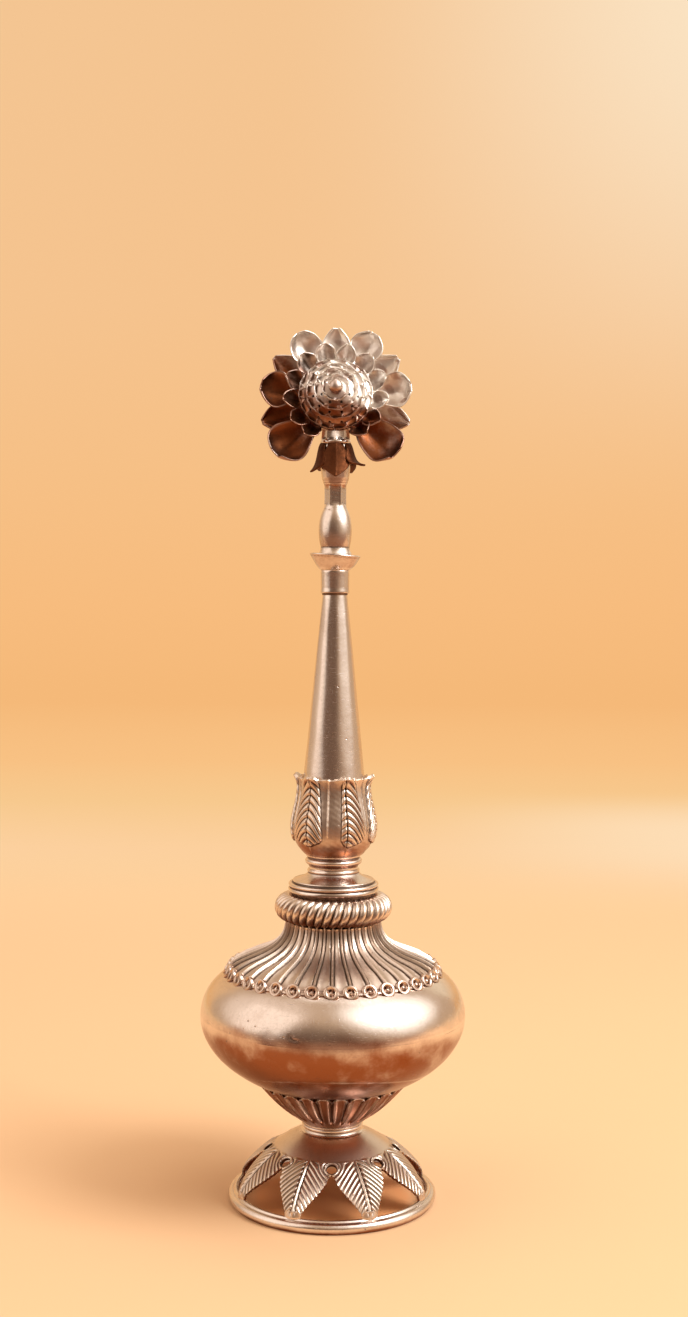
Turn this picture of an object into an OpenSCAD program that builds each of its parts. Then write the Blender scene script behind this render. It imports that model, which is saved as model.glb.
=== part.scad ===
// Rosewater sprinkler in old silver: a squat flask on a pierced leaf foot, a tall
// tapering neck that screws into its mouth, and a flower head that screws on the neck.
// Rosewater is shaken up the hollow neck and leaves through the holes in the flower.
// Millimetres. The origin is the middle of the base ring on the table, +Z up,
// and the flower looks along -Y.

/* [Foot] */
// Radius of the rolled base ring
foot_r = 33.5; // [33:0.1:35]
// Height of the base ring
ring_h = 4; // [3.6:0.1:4.4]
// Height of the flat top of the foot dome
dome_top_z = 22.2; // [21.8:0.1:22.6]
// Number of leaf legs, with one hole between each two
leg_count = 8; // [6:1:9]
// Diameter of the holes between the leaves
leg_hole_d = 3.3; // [2:0.1:4]
// Radius at which those holes sit
leg_hole_r = 20.5; // [20:0.1:21]
// How far each leaf leg is raised along its midrib
leaf_rise = 0.6; // [0.3:0.05:0.8]

/* [Flask] */
// Widest radius of the flask
body_r = 42.4; // [41:0.1:44]
// Height of its widest line, where the two raised halves are soldered
equator_z = 59.6; // [58:0.1:61]
// Thickness of the silver sheet
sheet = 1; // [0.8:0.1:1.1]
// Number of flutes on the calyx under the flask
calyx_flutes = 28; // [20:1:30]
// Number of flutes on the shoulder mantle
mantle_flutes = 36; // [24:1:40]
// Number of twisted lobes on the rope ring
rope_lobes = 40; // [28:1:44]
// Turn of one rope lobe from bottom to top, degrees
rope_lean = 11; // [6:1:16]

/* [Neck] */
// Height of the mouth, where the neck screws in
mouth_z = 98.8; // [98.6:0.1:99]
// Radius of the bore in the mouth
mouth_bore_r = 8.5; // [8.3:0.1:8.7]
// Radius of the flange that closes the mouth
flange_r = 14.5; // [13.8:0.1:15]
// Height of the top of the tapering neck
cone_top_z = 194; // [188:1:198]
// Radius of the neck where it leaves the leaf cup
cone_low_r = 9.75; // [9.4:0.05:10]
// Radius of the neck at its top
cone_top_r = 4; // [3.9:0.05:4.2]
// Number of chased leaves round the cup
cup_leaves = 6; // [4:1:8]

/* [Head] */
// Radius of the ferrule that screws on the neck
ferrule_r = 4.6; // [4.4:0.1:5]
// Radius of the drip saucer
saucer_r = 8.1; // [7:0.1:9]
// Radius of the stem at its bulb
stem_bulb_r = 5.25; // [4.9:0.05:5.6]
// Number of leaves that hang from the sepal collar
sepal_count = 5; // [4:1:6]
// How far the flower looks up, degrees
flower_tilt = 15; // [5:1:20]
// Height of the middle of the flower's outer petals
flower_z = 256; // [255:0.1:257]
// Radius of the outer petals, from the middle of the flower
flower_r = 24.8; // [23:0.1:25]
// Number of small spoon petals round the rosette
spoon_count = 13; // [9:1:13]

/* [Fits] */
// Radial play of the two screwed joints
screw_play = 0.05; // [0.03:0.01:0.08]
// Thickness of the leather washer under the flange
neck_washer_h = 0.8; // [0.6:0.1:1]
// Thickness of the leather washer under the ferrule
head_washer_h = 0.6; // [0.4:0.1:0.8]

/* [Hidden] */
$fn = 96;

collar_top_z = 25.2;
calyx_rim = [24.4, 39];
shoulder_z = 73.7;
rope_z = 90;
flange_z = mouth_z + neck_washer_h;
flange_top_z = 106.6;
cup_z = 111.2;
cup_rim_z = 136.6;
ferrule_z = cone_top_z + head_washer_h;
ferrule_top_z = cone_top_z + 8;
saucer_top_z = ferrule_top_z + 5;
collar_z = 229.4;
collar_rim_z = 246.5;
cone_bore_top_r = 3.1;
head_bore_r = 1.7;
spigot_r = mouth_bore_r - screw_play;
cone_spigot_r = 3;

// Middle of the flower, a little behind the stem's axis
flower_y = 1.5;
chamber_r = 11.5;
chamber_rim_w = 3;
dome_r = 11.2;
dome_h = 7;
dome_ball_r = (dome_r * dome_r + dome_h * dome_h) / (2 * dome_h);

// Points along a cubic curve from a to d, drawn by the handles b and c
function curve(a, b, c, d, n) = [for (i = [0:n]) let (t = i / n, s = 1 - t)
    s * s * s * a + 3 * s * s * t * b + 3 * s * t * t * c + t * t * t * d];

// Points along an arc round the centre c
function arc(c, r, from, to, n) = [for (i = [0:n]) let (a = from + (to - from) * i / n)
    c + r * [cos(a), sin(a)]];

function along(p, i) = let (v = p[min(i + 1, len(p) - 1)] - p[max(i - 1, 0)]) v / norm(v);
function left_of(v) = [-v[1], v[0]];
function backwards(p) = [for (i = [len(p) - 1:-1:0]) p[i]];

// The same line moved w to its left, which is inwards on an outline that runs upwards
function inset(p, w) = [for (i = [0:len(p) - 1]) p[i] + w * left_of(along(p, i))];

// The inner face of a sheet, without the points that would fold back in a tight corner
function lining(p, w) = [for (q = inset(p, w)) if (min([for (o = p) norm(q - o)]) > 0.98 * w) q];

function drop_repeats(p) = [for (i = [0:len(p) - 1]) if (i == 0 || norm(p[i] - p[i - 1]) > 0.01) p[i]];

module turned(outline) rotate_extrude() polygon(drop_repeats(outline));

// A closed skin over rings of points that all have the same count. Each ring runs
// anticlockwise round the direction in which the rings follow each other.
module skin(rings, wrap = false) {
    n = len(rings[0]);
    m = len(rings);
    points = [for (r = rings) each r];
    sides = [for (k = [0:(wrap ? m - 1 : m - 2)], j = [0:n - 1])
        let (a = k * n + j, b = k * n + (j + 1) % n,
             c = ((k + 1) % m) * n + (j + 1) % n, d = ((k + 1) % m) * n + j)
        each [[a, c, b], [a, d, c]]];
    last = (m - 1) * n;
    caps = wrap ? [] : [for (i = [0:n / 2 - 2]) each [
        [i, i + 1, n - 2 - i], [i, n - 2 - i, n - 1 - i],
        [last + i, last + n - 1 - i, last + n - 2 - i], [last + i, last + n - 2 - i, last + i + 1]]];
    polyhedron(points, concat(sides, caps));
}

// A ring of n points round Z, where place(j) gives radius and height, turned by some degrees
function hoop(n, place, turn = 0) = [for (j = [0:n - 1]) let (a = 360 * j / n + turn, p = place(j))
    [p[0] * cos(a), p[0] * sin(a), p[1]]];

// Hoops along an outline whose points are moved out by relief(i, j)
function relief_hoops(outline, n, relief) = let (out = inset(outline, -1))
    [for (i = [0:len(outline) - 1]) hoop(n, function (j)
        outline[i] + relief(i, j) * (out[i] - outline[i]))];

function plain_hoops(outline, n) = [for (p = outline) hoop(n, function (j) p)];

// One petal that lies along the direction a, in the flower's own frame. path is its middle
// line in radius and height, half(s) its half width and cup(s) the lift of its edges.
function petal(a, path, half, cup, thick, across) = let (m = len(path) - 1)
    [for (i = [0:m]) let (s = i / m, up = left_of(along(path, i)),
        edge = [for (k = [0:across]) let (t = 2 * k / across - 1)
            [path[i] + cup(s) * t * t * up, t * half(s)]],
        low = [for (e = edge) [e[0] - thick * up, e[1]]])
        [for (e = concat(low, backwards(edge)))
            [e[0][0] * cos(a) - e[1] * sin(a), e[0][0] * sin(a) + e[1] * cos(a), e[0][1]]]];

module at_flower() translate([0, flower_y, flower_z]) rotate([90 - flower_tilt, 0, 0]) children();

// Rolled base ring that the leaf legs stand on
module base_ring() {
    lip = 1.7;
    inner_r = foot_r - 4;
    color("silver") turned(concat(
        [[inner_r, 0], [foot_r - 1.1, 0]],
        arc([foot_r - lip, lip], lip, -50, 60, 8),
        [[foot_r - 1.8, ring_h - 0.2], [foot_r - 2, ring_h], [inner_r, ring_h], [inner_r - 0.5, 2]]));
}

// Outline of the foot dome's outer face, from the ring to the flat on top
function dome_outline() = concat([[foot_r - 2.2, ring_h]],
    curve([foot_r - 2.6, 5.6], [foot_r - 6.1, 11.4], [17.5, 19.2], [11, dome_top_z - 0.5], 5),
    [[9, dome_top_z], [6, dome_top_z]]);

// Crown of a leaf leg at the radius r, off degrees from its midrib. It starts below the
// plain top of the dome and runs out at the edges of the leaf and at the ring.
function leaf_crown(r, off) = let (half = 8.4 - 0.64 * (r - 22.5), side = r * sin(off))
    (r < 17 || r > foot_r - 2.5) ? 0 : leaf_rise * max(0, 1 - (side / half) ^ 2);

// Pointed opening between two leaf legs, seen from above, with its apex towards the stem
module leg_gap() {
    side = concat([[22.5, 0.5]], curve([22.9, 1], [25.5, 1.8], [28, 5.6], [31.2, 12.5], 4),
                  [[foot_r + 2, 12.5]]);
    polygon(concat(side, [for (p = backwards(side)) [p[0], -p[1]]]));
}

// Domed foot of sheet, pierced into crowned leaf legs with a drilled hole above each gap
module foot_dome() color("silver") difference() {
    samples = 8 * leg_count;
    outer = dome_outline();
    inside = concat([[6, dome_top_z - sheet]],
        curve([10.8, dome_top_z - 1.6], [17, 18.3], [foot_r - 7, 10.9], [foot_r - 3.4, 5.2], 3),
        [[foot_r - 3.2, ring_h]]);
    crown = function (i, j) leaf_crown(outer[i][0], ((j % 8) / 8 - 0.5) * 360 / leg_count);
    skin(concat(relief_hoops(outer, samples, crown), plain_hoops(inside, samples)), wrap = true);
    for (i = [0:leg_count - 1]) rotate([0, 0, i * 360 / leg_count - 90]) {
        translate([0, 0, ring_h - 1]) linear_extrude(14) leg_gap();
        translate([leg_hole_r, 0, 16]) rotate([0, 38, 0])
            cylinder(d = leg_hole_d, h = 8, center = true, $fn = 32);
    }
}

// Short beaded collar between foot and calyx
module foot_collar() color("silver")
    turned([[4, dome_top_z], [9.2, dome_top_z], [10, dome_top_z + 0.6], [10.1, dome_top_z + 1.2],
            [9.7, dome_top_z + 1.8], [9.5, dome_top_z + 2.4], [9.6, collar_top_z], [4, collar_top_z]]);

// Fluted calyx that carries the flask: its flutes end in round tips against the bowl
module under_calyx() {
    samples = 3 * calyx_flutes;
    levels = 4;
    wall = curve([9.6, collar_top_z], [15.5, 29.4], [19.4, 32.6], calyx_rim, levels);
    groove = function (i, j) (j % 3 == 0 && i > 0) ? -0.35 - 0.75 * i / levels : 0;
    tips = hoop(samples, function (j) calyx_rim - (j % 3 == 0 ? [1.1, 0.9] : [0, 0]));
    inside = curve([8.4, collar_top_z], [14, 31.2], [18.2, 33.8], [23, 39], 2);
    outer = relief_hoops(wall, samples, groove);
    color("silver") skin(concat([for (i = [0:levels - 1]) outer[i]], [tips],
        plain_hoops(backwards(inside), samples)), wrap = true);
}

// Lower half of the flask, raised from sheet, with its flattened bottom
function bowl_low_outline() = concat([[0, 35.4], [8, 35.6], [16, 36.8], [22.8, 39]],
    curve(calyx_rim + [0.3, 0], [32.8, 42.8], [body_r + 0.1, equator_z - 9.9], [body_r, equator_z], 16));

module bowl_lower() {
    outer = bowl_low_outline();
    inner = [for (p = lining(outer, sheet)) if (p[0] > 1 && p[1] < equator_z - 0.5) p];
    color("silver") turned(concat(outer, [[body_r - sheet, equator_z]], backwards(inner),
                                  [[0, outer[0][1] + sheet]]));
}

// Upper half of the flask, closing in under the mantle to the neck ring of its mouth
function bowl_up_outline() = concat(
    curve([body_r, equator_z], [body_r + 0.2, equator_z + 6.4], [39.1, 70.9], [33.5, shoulder_z], 14),
    curve([32.6, 74.1], [27.5, 76.3], [12, 77.5], [12, 88], 8), [[12, rope_z]]);

module bowl_upper() {
    outer = bowl_up_outline();
    inner = [for (p = lining(outer, sheet)) if (p[1] > equator_z + 0.5 && p[1] < rope_z - 0.5) p];
    color("silver") turned(concat(outer, [[12 - sheet, rope_z]], backwards(inner),
                                  [[body_r - sheet, equator_z]]));
}

// Fluted mantle over the shoulder: hollow flutes between fine raised ribs, each rib
// ending in a curl on the hem
module shoulder_mantle() {
    samples = 3 * mantle_flutes;
    face = curve([33.6, 74.8], [28.4, 80.4], [15.3, 79.2], [14.9, rope_z], 4);
    rib = function (i, j) j % 3 == 0 ? 0.45 : -0.1;
    hem = hoop(samples, function (j) j % 3 == 0 ? [34.9, 73.3] : [34.1, 73.5]);
    hem_top = hoop(samples, function (j) j % 3 == 0 ? [35, 74.4] : [33.9, 74.5]);
    under = hoop(samples, function (j) [33, 73.9]);
    inside = curve([31.6, 75.1], [27.4, 78], [14.2, 77.6], [13.2, rope_z], 3);
    top = hoop(samples, function (j) [j % 3 == 0 ? 15.3 : 14.8, rope_z]);
    outer = relief_hoops(face, samples, rib);
    color("silver") skin(concat([under, hem, hem_top], [for (i = [0:3]) outer[i]], [top],
        plain_hoops(backwards(inside), samples)), wrap = true);
}

// Rope ring round the mouth: a roll of twisted lobes
module rope_ring() {
    samples = 3 * rope_lobes;
    roll = [14.6, 94.4];
    steps = 4;
    lobes = [for (k = [0:steps]) let (a = -82 + 164 * k / steps, out = [cos(a), sin(a)],
        cut = 0.85 * sin(180 * (k + 0.6) / (steps + 1.2)))
        hoop(samples, function (j) roll + (4.2 - (j % 3 == 0 ? cut : 0)) * out,
             rope_lean * (k / steps - 0.5))];
    color("silver") skin(concat(
        [hoop(samples, function (j) [11.2, rope_z]), hoop(samples, function (j) [14.6, rope_z])],
        lobes,
        [hoop(samples, function (j) [14.2, mouth_z]), hoop(samples, function (j) [11.2, mouth_z])]),
        wrap = true);
}

// Threaded mouth, soldered inside the flask's neck ring
module mouth_socket() color("gainsboro")
    turned([[mouth_bore_r, 83], [11, 83], [11, mouth_z], [mouth_bore_r + 0.3, mouth_z],
            [mouth_bore_r, mouth_z - 0.3]]);

// Leather washer that the flange is screwed down on
module neck_washer() color("sienna")
    turned([[8.9, mouth_z], [13.4, mouth_z], [13.6, mouth_z + 0.2], [13.6, flange_z - 0.2],
            [13.4, flange_z], [8.9, flange_z]]);

// Threaded plug of the neck
module neck_spigot() color("gainsboro")
    turned([[7, mouth_z - 7.2], [spigot_r - 0.5, mouth_z - 7.2], [spigot_r, mouth_z - 6.7],
            [spigot_r, flange_z], [7, flange_z]]);

// Stepped flange with its line mouldings
module neck_flange() color("silver")
    turned(concat([[6.4, flange_z], [flange_r - 0.2, flange_z], [flange_r, flange_z + 0.3],
            [flange_r, 100.6], [flange_r - 0.5, 100.9], [flange_r - 0.5, 101.2]],
        arc([flange_r - 0.7, 101.7], 0.6, -60, 90, 5),
        [[flange_r - 1.6, 102.4], [flange_r - 1.8, 102.7], [flange_r - 1.4, 102.9],
            [flange_r - 1.9, 103.3]],
        curve([12.2, 103.4], [10.4, 103.7], [8.8, 104.4], [8.1, 105.6], 5),
        [[8.4, 106], [8.2, flange_top_z], [6.4, flange_top_z]]));

// Moulded bead between flange and leaf cup
module bead_ring() color("silver")
    turned(concat([[6.4, flange_top_z], [7.9, flange_top_z], [7.8, 107.6], [8.3, 108.2]],
        arc([8.1, 109.2], 1, -60, 75, 6), [[8.6, 110.4], [8.9, cup_z], [6.4, cup_z]]));

// Leaf cup that the neck rises from: chased leaves stand out of its plain wall and
// their tips curl out over the rim
function leaf_relief(z, a) = let (off = abs((a + 8) % (360 / cup_leaves) - 180 / cup_leaves),
        to_leaf = 180 / cup_leaves - off, h = (z - 117) / (cup_rim_z - 117),
        wide = 17 - 8 * h * h)
    z < 115 ? 0 : 0.75 * max(0, min(1, (wide - to_leaf) / 4));

module leaf_cup() {
    samples = 12 * cup_leaves;
    step = 360 / samples;
    wall = curve([9, cup_z], [18, 119.6], [10, 126.3], [11.4, cup_rim_z - 0.5], 7);
    tip = function (j) leaf_relief(cup_rim_z, j * step) > 0.4 ? [12.6, cup_rim_z + 0.2]
                                                              : [11.6, cup_rim_z - 0.4];
    inside = curve([8.4, cup_z], [16.4, 119.8], [9.2, 126.3], [10.6, cup_rim_z - 0.6], 3);
    outer = relief_hoops(wall, samples, function (i, j) leaf_relief(wall[i][1], j * step) * 0.8);
    color("silver") skin(concat([for (i = [0:6]) outer[i]], [hoop(samples, tip)],
        plain_hoops(backwards(inside), samples)), wrap = true);
}

// Tall tapering neck tube, whose rounded root stands inside the leaf cup
module neck_cone() {
    wall = 0.9;
    root = curve([8.2, cup_z], [9.6, 118], [10.8, 126], [cone_low_r, cup_rim_z], 6);
    bore = curve([7.2, cup_z], [8.6, 118], [9.8, 126], [cone_low_r - wall, cup_rim_z], 6);
    color("silver") turned(concat(root, [[cone_top_r, cone_top_z], [cone_bore_top_r, cone_top_z]],
                                  backwards(bore)));
}

// Threaded tip of the neck, soldered in the top of the tube
module cone_spigot() {
    flare = (cone_low_r - 0.9 - cone_bore_top_r) / (cone_top_z - cup_rim_z);
    color("gainsboro")
        turned([[2.2, cone_top_z - 6], [cone_bore_top_r + 6 * flare, cone_top_z - 6],
                [cone_bore_top_r, cone_top_z], [cone_spigot_r, cone_top_z],
                [cone_spigot_r, ferrule_z + 4.9], [cone_spigot_r - 0.3, ferrule_z + 5.2],
                [2.2, ferrule_z + 5.2]]);
}

// Leather washer that the ferrule is screwed down on
module head_washer() color("sienna")
    turned([[3.4, cone_top_z], [4.1, cone_top_z], [4.1, ferrule_z], [3.4, ferrule_z]]);

// Threaded ferrule at the foot of the head
module head_ferrule() color("gainsboro")
    turned([[cone_spigot_r + screw_play, ferrule_z], [ferrule_r - 0.2, ferrule_z],
            [ferrule_r, ferrule_z + 0.2], [ferrule_r, ferrule_top_z - 0.3],
            [ferrule_r - 0.2, ferrule_top_z], [2.2, ferrule_top_z], [2.2, ferrule_top_z - 1.5],
            [cone_spigot_r + screw_play, ferrule_top_z - 1.5]]);

// Drip saucer, a shallow dish with a rounded rim
module drip_saucer() color("silver")
    turned(concat([[head_bore_r, ferrule_top_z], [ferrule_r + 0.2, ferrule_top_z],
            [saucer_r - 0.4, saucer_top_z - 0.8]],
        arc([saucer_r - 0.35, saucer_top_z - 0.4], 0.35, -50, 130, 6),
        [[5.6, saucer_top_z - 0.4], [5.4, saucer_top_z], [head_bore_r, saucer_top_z]]));

// Baluster stem: a bulb that narrows to a fluted throat
module baluster_stem() {
    throat_r = 3.4;
    flute_r = 1.7;
    outline = concat([[head_bore_r, saucer_top_z], [5.4, saucer_top_z], [4.9, saucer_top_z + 0.9]],
        curve([4.6, 209.2], [stem_bulb_r + 0.5, 213], [stem_bulb_r + 0.3, 218.4], [3.7, 221.4], 9),
        [[throat_r, 222.6], [throat_r, collar_z - 1.2], [3.8, collar_z], [head_bore_r, collar_z]]);
    color("silver") difference() {
        turned(outline);
        for (i = [0:5]) rotate([0, 0, 60 * i + 30]) translate([throat_r + flute_r - 0.4, 0, 223.2]) {
            cylinder(r = flute_r, h = 4.4, $fn = 24);
            sphere(r = flute_r, $fn = 24);
            translate([0, 0, 4.4]) sphere(r = flute_r, $fn = 24);
        }
    }
}

// Outer line of the flower's hollow back, in the flower's own radius and height
function chamber_back() = curve([0, -6.5], [8.5, -6.4], [chamber_r, -2.4],
                                [chamber_r, chamber_rim_w], 8);

// Collar above the stem that the sepals hang from, fluted at its rim and hollowed to fit
// the back of the flower
module sepal_collar() {
    rim_flutes = 10;
    color("silver") difference() {
        turned([[head_bore_r, collar_z], [3.8, collar_z], [4.3, collar_z + 1.6], [4.7, 234],
                [4.8, 240], [4.6, 241.6], [5, 242.2], [4.7, 243], [4.5, collar_rim_z],
                [head_bore_r, collar_rim_z]]);
        for (i = [0:rim_flutes - 1]) rotate([0, 0, 360 * i / rim_flutes])
            translate([5.3, 0, 243.2]) cylinder(r = 1.05, h = 5, $fn = 24);
        at_flower() turned(concat(chamber_back(), [[chamber_r, dome_h], [0, dome_h]]));
    }
}

// Reflexed sepals, broad leaves that hang down round the collar with their tips turned out
module sepals() {
    fall = curve([4.55, 242.4], [6.3, 240.6], [5.6, 235], [9.1, 233], 5);
    half = function (s) s < 0.75 ? 2 + 2.6 * s / 0.75 : 4.6 * sqrt(max(0.004, (1 - s) / 0.25));
    color("silver") for (i = [0:sepal_count - 1])
        skin(petal(360 * i / sepal_count - 90, backwards(fall),
                   function (s) half(1 - s), function (s) -1.6 * (1 - s) - 0.4, 0.7, 4));
}

// Hollow back of the flower, which spreads the rosewater behind the pierced plate
module rose_chamber() {
    room = curve([0, -5.5], [7.8, -5.4], [chamber_r - 1, -2], [chamber_r - 1, chamber_rim_w], 8);
    color("silver") difference() {
        union() {
            at_flower() turned(concat(chamber_back(), [[0, chamber_rim_w]]));
            translate([0, 0, collar_rim_z]) cylinder(r = 4.4, h = 4);
        }
        at_flower() turned(concat(room, [[chamber_r - 1, chamber_rim_w + 4], [0, chamber_rim_w + 4]]));
        translate([0, 0, collar_rim_z - 3]) cylinder(r = head_bore_r, h = 10, $fn = 32);
    }
}

function dome_w(rho) = chamber_rim_w + dome_h - dome_ball_r + sqrt(dome_ball_r ^ 2 - rho ^ 2);

// Domed rose plate, pierced with rings of sprinkling holes
module rose_plate() {
    rows = [[4.7, 8], [7.3, 12], [9.7, 16]];
    ball = [0, 0, chamber_rim_w + dome_h - dome_ball_r];
    color("silver") at_flower() difference() {
        intersection() {
            translate(ball) sphere(r = dome_ball_r);
            translate([0, 0, chamber_rim_w]) cylinder(r = dome_r + 1, h = dome_h + 1);
        }
        translate(ball) sphere(r = dome_ball_r - 0.8);
        for (row = rows, i = [0:row[1] - 1]) rotate([0, 0, (i + 0.5) * 360 / row[1]])
            translate(ball) rotate([0, asin(row[0] / dome_ball_r), 0])
                translate([0, 0, dome_ball_r - 2]) cylinder(d = 0.9, h = 4, $fn = 16);
    }
}

// Round boss in the middle of the flower
module flower_knob() color("silver") at_flower()
    turned(concat([[0, dome_w(0) + 0.01], [1.7, dome_w(0) + 0.01]],
                  arc([0, dome_w(0) + 1.3], 2.3, -28, 90, 8)));

// One ring of the rosette: a low flaring wall whose lip is cut into rounded petals
module rosette_ring(petals, root_r, lip_r, lift) {
    samples = 4 * petals;
    dip = function (j) [1, 0.15, 0, 0.15][j % 4];
    root = [root_r, dome_w(root_r)];
    lip = [lip_r, dome_w(min(lip_r, dome_r)) + lift];
    mid = (root + lip) / 2 + [0.35, -0.25];
    out = left_of((root - lip) / norm(root - lip));
    thick = 0.55;
    skin([hoop(samples, function (j) root + [0.5, -0.3]),
          hoop(samples, function (j) mid + 0.5 * thick * out - dip(j) * [0.3, 0.1]),
          hoop(samples, function (j) lip + 0.3 * thick * out - dip(j) * [0.75, 0.9]),
          hoop(samples, function (j) lip - 0.5 * thick * out - dip(j) * [0.75, 0.9]),
          hoop(samples, function (j) mid - 0.5 * thick * out - dip(j) * [0.3, 0.1]),
          hoop(samples, function (j) root - [0.1, 0.25])], wrap = true);
}

// Rosette of four overlapping rings of small round petals on the pierced dome
module rosette_rings() color("silver") at_flower() {
    rosette_ring(6, 2.7, 4, 1.1);
    rosette_ring(9, 5.3, 6.9, 1.3);
    rosette_ring(12, 7.9, 9.5, 1.5);
    rosette_ring(15, 10.3, 12.2, 2);
}

// Small spoon petals round the rosette, hollow side to the front. The one that would lie
// over the stem is left out.
module spoon_petals() {
    path = curve([11, 2.2], [13.2, 2], [14.6, 3.8], [16.8, 6.4], 3);
    half = function (s) s < 0.6 ? 1.9 + 1.4 * s / 0.6 : 3.3 * sqrt(max(0.12, 1 - ((s - 0.6) / 0.4) ^ 2));
    over_stem = floor(spoon_count / 2);
    color("silver") at_flower() for (i = [0:spoon_count - 1]) if (i != over_stem)
        skin(petal(90 + (i + 0.5) * 360 / spoon_count, path, half,
                   function (s) 1.7 * sin(180 * min(1, s + 0.1)), 0.6, 4));
}

// Large petals with their edges curled forward like spoons, in pairs from top to bottom
module cupped_petals() {
    places = [[30, 5.3, 0.4], [83, 6, 0.1], [136, 6.9, 3.2]];
    color("silver") at_flower() for (side = [-1, 1], place = places)
        let (tip_r = flower_r + place[2],
             path = curve([11, 0.2], [16, -1.2], [tip_r - 4.3, -0.6], [tip_r, 3.6], 6),
             half = function (s) s < 0.65 ? 2.3 + (place[1] - 2.3) * sin(90 * s / 0.65)
                                          : place[1] * sqrt(max(0.2, 1 - ((s - 0.65) / 0.4) ^ 2)))
            skin(petal(90 + side * place[0], path, half,
                       function (s) 3.2 * sin(180 * min(0.85, s * 0.9)), 0.7, 6));
}

// Pointed petals behind, one in each gap between the cupped ones except over the stem
module pointed_petals() {
    path = curve([11, -1.6], [15, -3.6], [20, -3], [flower_r + 0.1, -0.6], 5);
    half = function (s) s < 0.5 ? 2 + 3.1 * sin(180 * s) : 0.7 + 4.4 * (1 - ((s - 0.5) / 0.5) ^ 2);
    color("silver") at_flower() for (place = [-108, -54, 0, 54, 108])
        skin(petal(90 + place, path, half, function (s) 1.5 * sin(180 * s), 0.7, 4));
}

base_ring();
foot_dome();
foot_collar();
under_calyx();
bowl_lower();
bowl_upper();
shoulder_mantle();
rope_ring();
mouth_socket();
neck_washer();
neck_spigot();
neck_flange();
bead_ring();
leaf_cup();
neck_cone();
cone_spigot();
head_washer();
head_ferrule();
drip_saucer();
baluster_stem();
sepal_collar();
sepals();
rose_chamber();
rose_plate();
flower_knob();
rosette_rings();
spoon_petals();
cupped_petals();
pointed_petals();
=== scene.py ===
"""Rosewater sprinkler in old silver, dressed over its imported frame.

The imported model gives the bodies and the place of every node. Each class below makes the
visible pieces of one sub-assembly in millimetres, gives them their finish, hangs them on
the body that carries them, and says which nodes they stand for.
"""
import logging
import math
from collections.abc import Callable, Sequence
from dataclasses import dataclass, field
from enum import Enum

import bpy
import numpy as np
from mathutils import Matrix, Vector


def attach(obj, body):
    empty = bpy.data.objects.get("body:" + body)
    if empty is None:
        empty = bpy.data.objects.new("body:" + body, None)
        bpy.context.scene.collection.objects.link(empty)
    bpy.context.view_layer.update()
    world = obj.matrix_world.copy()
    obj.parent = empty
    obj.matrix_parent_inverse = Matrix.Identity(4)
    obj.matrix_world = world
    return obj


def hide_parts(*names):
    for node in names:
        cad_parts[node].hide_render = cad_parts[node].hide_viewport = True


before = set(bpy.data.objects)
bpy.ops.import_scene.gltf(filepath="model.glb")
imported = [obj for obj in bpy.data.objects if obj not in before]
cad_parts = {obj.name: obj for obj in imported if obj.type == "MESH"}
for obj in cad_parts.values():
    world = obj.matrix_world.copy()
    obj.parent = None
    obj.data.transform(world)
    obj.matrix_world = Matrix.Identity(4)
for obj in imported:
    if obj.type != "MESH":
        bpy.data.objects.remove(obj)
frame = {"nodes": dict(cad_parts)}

LOG = logging.getLogger("sprinkler")
MM = 0.001
SAME_PLACE = 2e-6
NO_LENGTH = 1e-6
Point = tuple[float, float]
Colour = tuple[float, float, float]
Cloud = np.ndarray
Piece = bpy.types.Object


class Body(Enum):
    """The bodies of the frame that a piece can ride on."""

    VESSEL = "vessel"
    NECK_SEAL = "neck_seal"
    NECK = "neck"
    HEAD_SEAL = "head_seal"
    HEAD = "head"


class Slot(Enum):
    """The record's material slots."""

    PLAIN = "silver_plain"
    CHASED = "silver_chased"
    FLOWER = "silver_flower"
    THREAD = "silver_thread"
    LEATHER = "leather_seal"


class Solid(Enum):
    """What a tool does to the piece that it meets."""

    CUT = "DIFFERENCE"
    ADD = "UNION"


# ---- numbers ----


def beat(angle: Cloud, count: float, offset: float = 0.0) -> Cloud:
    """Position inside one repeat round the axis.

    Args:
        angle: Azimuths in degrees.
        count: Repeats in a full turn.
        offset: Azimuth of the middle of one repeat.

    Returns:
        Values from -0.5 to 0.5, 0 in the middle of a repeat.
    """
    turn = (angle - offset) / 360.0 * count
    return turn - np.round(turn)


def ease(value: Cloud, low: float, high: float) -> Cloud:
    """Goes smoothly from 0 at low to 1 at high."""
    t = np.clip((value - low) / (high - low), 0.0, 1.0)
    return t * t * (3.0 - 2.0 * t)


def ridge(distance: Cloud, width: float) -> Cloud:
    """A rounded ridge of height 1 at distance 0."""
    return np.exp(-((distance / width) ** 2))


def cubic(points: Sequence[Point], t: Cloud) -> Cloud:
    """Points on a cubic curve.

    Args:
        points: Its start, two handles and end.
        t: Where on it, from 0 to 1.

    Returns:
        One row of two numbers for each t.
    """
    a, b, c, d = (np.array(p, float) for p in points)
    t = np.asarray(t, float)[..., None]
    s = 1.0 - t
    return s**3 * a + 3 * s * s * t * b + 3 * s * t * t * c + t**3 * d


def wobble(points: Cloud, size: float, seed: float) -> Cloud:
    """Slow hand-made unevenness, the same on every run.

    Args:
        points: Positions in millimetres, one row each.
        size: Length of one wave in millimetres.
        seed: Shifts the pattern.

    Returns:
        Values between -1 and 1.
    """
    x, y, z = (points / size).T * math.tau
    return (
        np.sin(x + 1.7 * seed) * np.cos(0.8 * y - seed)
        + np.sin(0.9 * y + 2.3 * seed + 0.6 * z)
        + np.cos(1.1 * z + 0.7 * x + seed)
    ) / 3.0


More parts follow.
